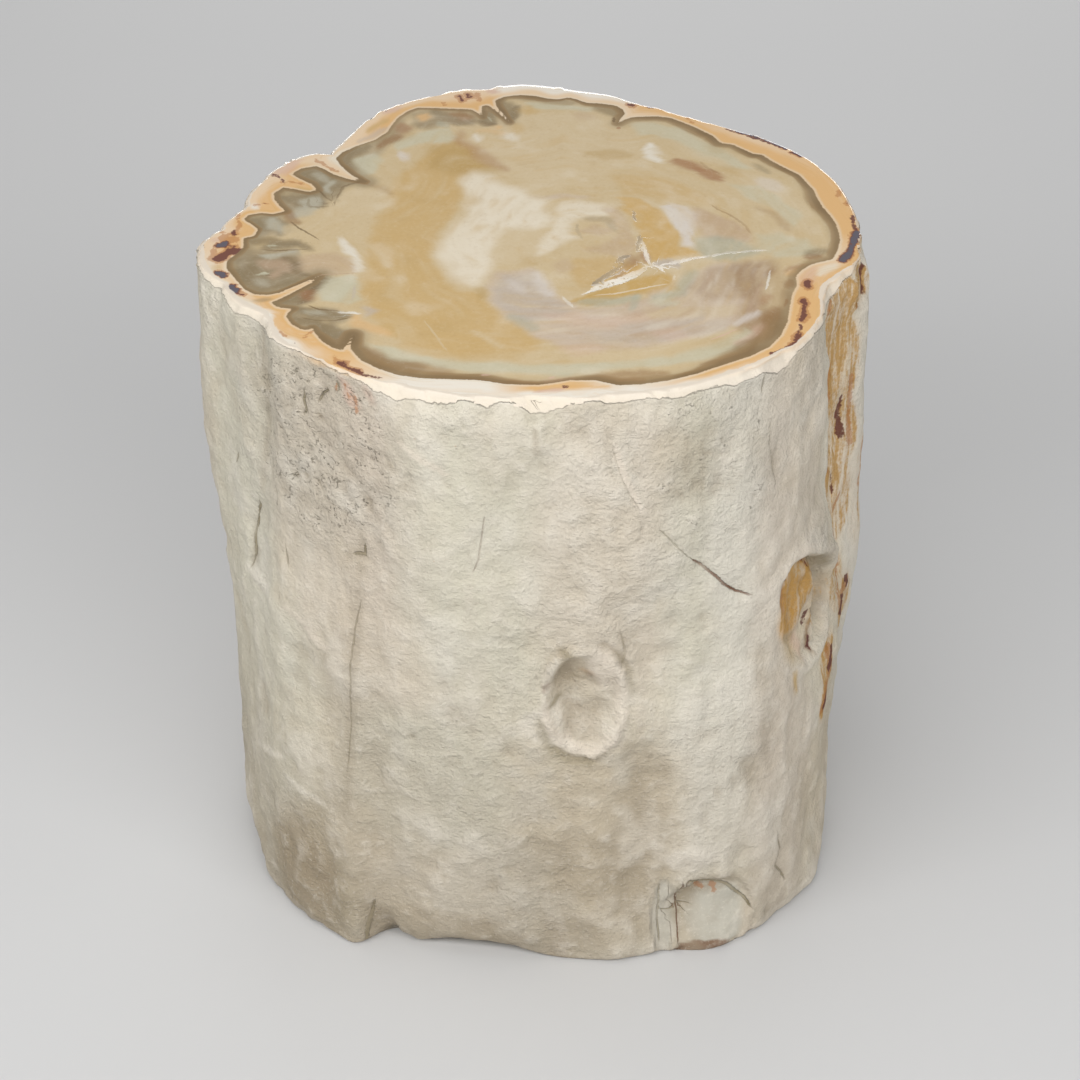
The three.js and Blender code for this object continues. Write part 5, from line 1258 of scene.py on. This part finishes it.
def paint(piece, beyond, sunken, depth, pitting):
    print("trunk: painting the cut and the rind")
    mesh = piece.data
    place = points(mesh) / mm
    place[:, :2] -= np.array(trunkAxis) / mm
    angle = np.degrees(np.arctan2(place[:, 1], place[:, 0])) % 360
    z = place[:, 2]
    upper = z > height - 3.5
    flat = place[upper, :2]
    count = len(z)
    core, band = np.tile(linear("tan"), (count, 1)), paintRind(angle, z, place, sunken)
    inset, rings, inks = np.full(count, -9.0), np.zeros((count, 3)), np.zeros((count, 3))
    painted = paintCut(flat, place[upper], angle[upper], -beyond[upper])
    core[upper], cutBand, inset[upper], rings[upper] = painted
    share = (smooth(z[upper], height - 0.5, height - 0.1) * smooth(-beyond[upper], -1.2, -0.2))[:, None]
    band[upper] = band[upper] * (1 - share) + cutBand * share
    drawnRind = rindSpots(angle, z) + 0.25 * noise(place, 1.0, seed=94)[:, None]
    rindInks = [(ink, half, rindPath(path)) for ink, half, path in rindSpotsOfInk]
    inks = inkFields(drawnRind, rindInks) * smooth(height - z, 0.2, 1.2)[:, None]
    drawnCut = flat + 0.2 * noise(place[upper], 0.9, seed=94)[:, None]
    cutShare = smooth(z[upper], height - 1.2, height - 0.3)[:, None]
    inks[upper] = np.maximum(inks[upper], inkFields(drawnCut, cutInks) * cutShare)
    rindSeams = [(colour, half, strength, rindPath(path)) for colour, half, _, strength, path in rindLines]
    side, shade, colours = lineFields(rindSpots(angle, z), rindSeams, place)
    onCut = z > height - 0.05
    onTop = place[onCut]
    drawn = onTop[:, :2] + 0.1 * noise(onTop, 1.1, seed=70)[:, None]
    side[onCut], shade[onCut], colours[onCut] = lineFields(drawn, cutVeins, onTop)
    crack, crackShade, crackColour = np.full(count, 3.0), np.zeros(count), np.zeros((count, 3))
    drawn = onTop[:, :2] + 0.18 * noise(onTop, 0.9, seed=75)[:, None]
    crack[onCut], crackShade[onCut], crackColour[onCut] = lineFields(drawn, starCracks, onTop)
    stained = np.zeros(count)
    for strength, at, level, wide, tall, soft in stains:
        stained = np.maximum(stained, strength * oval(angle, z, at, level, wide, tall, soft))
    layers = {
        "coreColour": core, "bandColour": band, "inset": inset, "rings": rings, "inks": inks,
        "stain": stained,
        "lineSide": side, "lineShade": shade, "lineColour": colours, "crackSide": crack,
        "crackShade": crackShade, "crackColour": crackColour, "pitting": pitting,
        "edgeWidth": byAngle(angle, edgeLine) * (1 + 0.45 * noise(place, 4, seed=65)),
        "edgeShade": byAngle(angle, edgeLine, 2) * (0.78 + 0.3 * noise(place, 3, seed=66)),
        "crustEdge": beyond + byAngle(angle, crustWidth), "offPolish": beyond,
        "paleFace": z - (height - depth),
    }
    for name, values in layers.items():
        store(mesh, name, values)




# Shader maths: a Wire is one output of a node tree, and an expression on wires adds its nodes

class Wire:
    def __init__(self, tree, socket):
        self.tree = tree
        self.socket = socket

    def maths(self, operation, *values):
        return addNode(self.tree, "ShaderNodeMath", {"operation": operation}, dict(enumerate(values)))

    def __add__(self, other):
        return self.maths("ADD", self, other)

    def __radd__(self, other):
        return self.maths("ADD", other, self)

    def __sub__(self, other):
        return self.maths("SUBTRACT", self, other)

    def __rsub__(self, other):
        return self.maths("SUBTRACT", other, self)

    def __mul__(self, other):
        return self.maths("MULTIPLY", self, other)

    def __rmul__(self, other):
        return self.maths("MULTIPLY", other, self)

    def __truediv__(self, other):
        return self.maths("DIVIDE", self, other)

    def __rtruediv__(self, other):
        return self.maths("DIVIDE", other, self)

    def __abs__(self):
        return self.maths("ABSOLUTE", self)

    def step(self, start, end):  # smoothly from 0 at start to 1 at end
        return addNode(self.tree, "ShaderNodeMapRange", {"interpolation_type": "SMOOTHSTEP"},
                       {"Value": self, "From Min": start, "From Max": end})

    def most(self, other):
        return self.maths("MAXIMUM", self, other)


def addNode(tree, kind, settings, sockets, output=0):
    node = tree.nodes.new(kind)
    for name, value in settings.items():
        setattr(node, name, value)
    for name, value in sockets.items():
        if isinstance(value, Wire):
            tree.links.new(value.socket, node.inputs[name])
        else:
            node.inputs[name].default_value = value
    return Wire(tree, node.outputs[output])


class Finish:  # one material and the nodes that its maker asks for
    def __init__(self, name):
        self.material = bpy.data.materials.new(name)
        self.material.use_nodes = True
        self.tree = self.material.node_tree
        self.shader = self.tree.nodes["Principled BSDF"]

    def add(self, kind, settings=None, sockets=None, output=0):
        return addNode(self.tree, kind, settings or {}, sockets or {}, output)

    def millimetres(self):  # the stone's own coordinates from the trunk's axis
        place = self.add("ShaderNodeTexCoord", output="Object")
        return self.add("ShaderNodeMapping", {}, {"Vector": place, "Scale": (1000, 1000, 1000),
                        "Location": (-trunkAxis.x / mm, -trunkAxis.y / mm, 0)})

    def scaled(self, place, x, y, z):
        return self.add("ShaderNodeVectorMath", {"operation": "MULTIPLY"}, {0: place, 1: (x, y, z)})

    def noise(self, place, size, detail=2.0, rough=0.5):
        return self.add("ShaderNodeTexNoise", {}, {"Vector": place, "Scale": 1 / size, "Detail": detail,
                        "Roughness": rough})

    def attribute(self, name, output="Fac"):
        return self.add("ShaderNodeAttribute", {"attribute_name": name}, output=output)

    def parts(self, name):  # the three parts of a colour attribute
        whole = self.add("ShaderNodeSeparateColor", {}, {0: self.attribute(name, "Color")})
        node = whole.socket.node
        return [Wire(self.tree, node.outputs[n]) for n in range(3)]

    def mix(self, first, second, share):
        return self.add("ShaderNodeMix", {"data_type": "RGBA"}, {0: share, 6: first, 7: second}, output=2)

    def tint(self, name):
        return (*linear(name), 1)

    def ink(self, colour, grain):  # rust, then maroon and slate over it, each crisp-edged
        for name, field in zip(("rust", "maroon", "slate"), self.parts("inks")):
            share = (field + (grain - 0.5) * 0.5).step(0.46, 0.58)
            colour = self.mix(colour, self.tint(name), share * (0.55 if name == "rust" else 0.9))
        return colour

    def line(self, kind, grain):  # share of the nearest painted line of a kind, broken up by the grain
        away = abs(self.attribute(kind + "Side") + (grain - 0.5) * 2.6)
        return away.step(1.4, 0.5) * self.attribute(kind + "Shade")

    def set(self, sockets):
        for name, value in sockets.items():
            socket = self.shader.inputs[name]
            if isinstance(value, Wire):
                self.tree.links.new(value.socket, socket)
            else:
                socket.default_value = value


def makeCut():
    finish = Finish("polishedCut")
    place = finish.millimetres()
    streak = finish.noise(finish.attribute("rings", "Vector"), 0.8, detail=4, rough=0.6)
    grain = finish.noise(place, 0.4, detail=4, rough=0.6)
    inset = finish.attribute("inset") + (grain - 0.5) * 0.3
    inside = inset.step(-0.08, 0.08)
    core = finish.attribute("coreColour", "Color")
    core = finish.mix(core, finish.tint("deepGold"), streak.step(0.5, 0.8) * 0.12)
    core = finish.mix(core, finish.tint("cream"), streak.step(0.5, 0.2) * 0.14)
    core = finish.mix(core, finish.tint("brown"), grain.step(0.52, 0.8) * 0.16)
    core = finish.mix(core, finish.tint("cream"), grain.step(0.48, 0.2) * 0.16)
    # the dark line is crisp at the band and ragged on its inner side
    reach = inset / finish.attribute("edgeWidth") + (streak - 0.5) * 0.9
    dark = reach.step(1.2, 0.75) * finish.attribute("edgeShade")
    core = finish.mix(core, finish.tint("lineBrown"), dark)
    darkening = reach.step(0.9, 0.2) * finish.attribute("edgeShade") * 0.75
    core = finish.mix(core, finish.tint("darkLine"), darkening)
    band = finish.attribute("bandColour", "Color")
    band = finish.mix(band, finish.tint("honey"), streak.step(0.5, 0.75) * 0.3)
    band = finish.mix(band, finish.tint("cream"), inset.step(-0.5, -0.12) * 0.45)
    band = finish.ink(band, grain)
    crust = (finish.attribute("crustEdge") + (grain - 0.5) * 0.35).step(-0.06, 0.08)
    band = finish.mix(band, finish.tint("crust"), crust * 0.92)
    colour = finish.mix(band, core, inside)
    vein = finish.line("line", grain)
    colour = finish.mix(colour, finish.attribute("lineColour", "Color"), vein)
    crack = finish.line("crack", grain)
    colour = finish.mix(colour, finish.attribute("crackColour", "Color"), crack)
    broken = (finish.attribute("offPolish") + (grain - 0.5) * 0.2).step(-0.03, 0.08)
    level = (grain - 0.5) * (broken + 0.04) - crack * 0.7
    bump = finish.add("ShaderNodeBump", {}, {"Strength": 0.6, "Distance": 0.2 * mm, "Height": level})
    dull = broken.most(crack)
    roughness = 0.17 + dull * 0.6 + (streak - 0.5) * 0.06
    coat = (1 - dull) * 0.3
    finish.set({"Base Color": colour, "Roughness": roughness, "Normal": bump, "Coat Weight": coat})
    finish.shader.inputs["Coat Roughness"].default_value = 0.08
    finish.shader.inputs["Specular IOR Level"].default_value = 0.5
    return finish.material


def makeRind():
    finish = Finish("weatheredRind")
    place = finish.millimetres()
    mottle = finish.noise(place, 2.6, detail=5, rough=0.62)
    grain = finish.noise(place, 0.42, detail=4, rough=0.65)
    strands = finish.noise(finish.scaled(place, 1, 1, 0.1), 0.75, detail=3, rough=0.6)
    colour = finish.attribute("bandColour", "Color")
    colour = finish.mix(colour, finish.tint("chalk"), mottle.step(0.52, 0.75) * 0.4)
    colour = finish.mix(colour, finish.tint("rindShadeAndDirt"), mottle.step(0.48, 0.25) * 0.22)
    colour = finish.mix(colour, finish.tint("chalk"), grain.step(0.54, 0.75) * 0.35)
    colour = finish.mix(colour, finish.tint("rindShadeAndDirt"), grain.step(0.44, 0.22) * 0.35)
    colour = finish.mix(colour, finish.tint("rindShadeAndDirt"), strands.step(0.55, 0.75) * 0.12)
    # iron stain, in threads down the trunk
    stain = finish.attribute("stain")
    threads = stain * 1.1 + (strands - 0.5) * 1.5 + (grain - 0.5) * 0.7
    colour = finish.mix(colour, finish.tint("orange"), stain * 0.22)
    colour = finish.mix(colour, finish.tint("thread"), threads.step(0.6, 1.05) * stain.step(0.0, 0.2) * 0.85)
    colour = finish.mix(colour, finish.tint("umber"), threads.step(1.2, 1.55) * 0.4)
    colour = finish.ink(colour, grain)
    # chains of small dark pits where the rind is rough, and painted cracks; the groove-coloured cracks are
    # painted shadow in narrow grooves
    wander = finish.noise(finish.scaled(place, 1, 1, 1.5), 4.5, detail=4, rough=0.6)
    chain = abs(wander - 0.5).step(0.014, 0.004) * grain.step(0.5, 0.42)
    pit = chain * (finish.attribute("pitting") + (mottle - 0.5) * 1.5).step(0.7, 0.95)
    colour = finish.mix(colour, finish.tint("groove"), pit * 0.45)
    crack = finish.line("line", grain)
    colour = finish.mix(colour, finish.attribute("lineColour", "Color"), crack)
    # the pale broken face below the rim, smooth and crisp-edged
    pale = (finish.attribute("paleFace") + (grain - 0.5) * 0.4).step(-0.05, 0.12)
    smoothFace = finish.mix(finish.tint("crust"), finish.attribute("bandColour", "Color"), 0.25)
    smoothFace = finish.mix(smoothFace, finish.tint("cream"), mottle.step(0.45, 0.7) * 0.4)
    colour = finish.mix(colour, smoothFace, pale * 0.9)
    calm = (1 - pale * 0.75) * (finish.attribute("pitting") * 0.4 + 0.55)
    level = (mottle * 0.9 + grain * 0.3 + abs(wander - 0.5) * 0.5) * calm - crack * 0.2 - pit * 0.2
    bump = finish.add("ShaderNodeBump", {}, {"Strength": 1.0, "Distance": 1.2 * mm, "Height": level})
    finish.set({"Base Color": colour, "Roughness": 0.82 + (grain - 0.5) * 0.2, "Normal": bump})
    finish.shader.inputs["Specular IOR Level"].default_value = 0.3
    return finish.material


def makeSawnCut():
    finish = Finish("sawnCut")
    place = finish.millimetres()
    blade = finish.noise(finish.scaled(place, 0.05, 1, 1), 0.9, detail=3)  # faint straight marks of the saw
    cloud = finish.noise(place, 6, detail=4)
    colour = finish.mix(finish.tint("rindWarm"), finish.tint("lilac"), cloud.step(0.4, 0.7) * 0.6)
    colour = finish.mix(colour, finish.tint("rindShadeAndDirt"), blade.step(0.5, 0.75) * 0.3)
    bump = finish.add("ShaderNodeBump", {}, {"Strength": 0.5, "Distance": 0.1 * mm, "Height": blade})
    finish.set({"Base Color": colour, "Roughness": 0.6 + blade * 0.2, "Normal": bump})
    return finish.material


trunk = makeGrid()
paint(trunk, *sculpt(trunk))
print("trunk: finishes")
for makeFinish in (makeCut, makeRind, makeSawnCut):
    trunk.data.materials.append(makeFinish())
for face in trunk.data.polygons:
    polished = face.normal.z > 0.8 and face.center.z > highest.z - 0.7 * mm
    sawn = face.normal.z < -0.9 and face.center.z < 0.2 * mm
    face.material_index = 0 if polished else 2 if sawn else 1

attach(trunk, "root")
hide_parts(nodeName)


# Floor, light and camera

studio = {
    "floorSize": 3.0,
    "floorColour": 0.62,
    "sky": 0.24,
    "elevation": 36,  # degrees that the camera looks down
    "lens": 100,
    "eye": (0.98, -304.93, 260.05),  # from the foot of the trunk's axis
}


def areaLight(name, place, target, size, power):
    light = bpy.data.lights.new(name, "AREA")
    light.shape = "RECTANGLE"
    light.size, light.size_y = size
    light.energy = power
    lamp = bpy.data.objects.new(name, light)
    bpy.context.scene.collection.objects.link(lamp)
    lamp.location = place
    lamp.rotation_euler = (Vector(target) - Vector(place)).to_track_quat("-Z", "Y").to_euler()


def setStudio():
    print("studio: floor, light and camera")
    bpy.ops.object.select_all(action="DESELECT")
    bpy.ops.mesh.primitive_plane_add(size=studio["floorSize"], location=(0, 0, 0))
    floor = bpy.context.object
    floor.name = "floor"
    material = bpy.data.materials.new("paleFloor")
    material.use_nodes = True
    shader = material.node_tree.nodes["Principled BSDF"]
    shade = studio["floorColour"]
    shader.inputs["Base Color"].default_value = (shade, shade, shade, 1)
    shader.inputs["Roughness"].default_value = 0.7
    floor.data.materials.append(material)

    world = bpy.context.scene.world or bpy.data.worlds.new("studio")
    bpy.context.scene.world = world
    world.use_nodes = True
    background = world.node_tree.nodes.get("Background") or world.node_tree.nodes.new("ShaderNodeBackground")
    output = world.node_tree.nodes.get("World Output") or world.node_tree.nodes.new("ShaderNodeOutputWorld")
    world.node_tree.links.new(background.outputs[0], output.inputs[0])
    background.inputs["Color"].default_value = (1, 1, 1, 1)
    background.inputs["Strength"].default_value = studio["sky"]
    areaLight("overhead", (-0.15, 0.0, 0.7), (0, 0, 0.05), (0.5, 0.4), 0.9)
    areaLight("frontHigh", (-0.03, -0.33, 0.36), (0, 0, 0.08), (1.15, 0.14), 3.0)
    areaLight("behind", (0.05, 0.6, 0.12), (0, 0, 0.04), (0.5, 0.2), 1.2)

    lens = bpy.data.cameras.new("camera")
    lens.lens = studio["lens"]
    lens.sensor_width = 36
    lens.clip_start = 0.01
    camera = bpy.data.objects.new("camera", lens)
    bpy.context.scene.collection.objects.link(camera)
    camera.location = Vector((*trunkAxis, 0)) + Vector(studio["eye"]) * mm
    camera.rotation_euler = (math.radians(90 - studio["elevation"]), 0, 0)
    bpy.context.scene.camera = camera
    bpy.context.scene.view_settings.view_transform = "Standard"


setStudio()
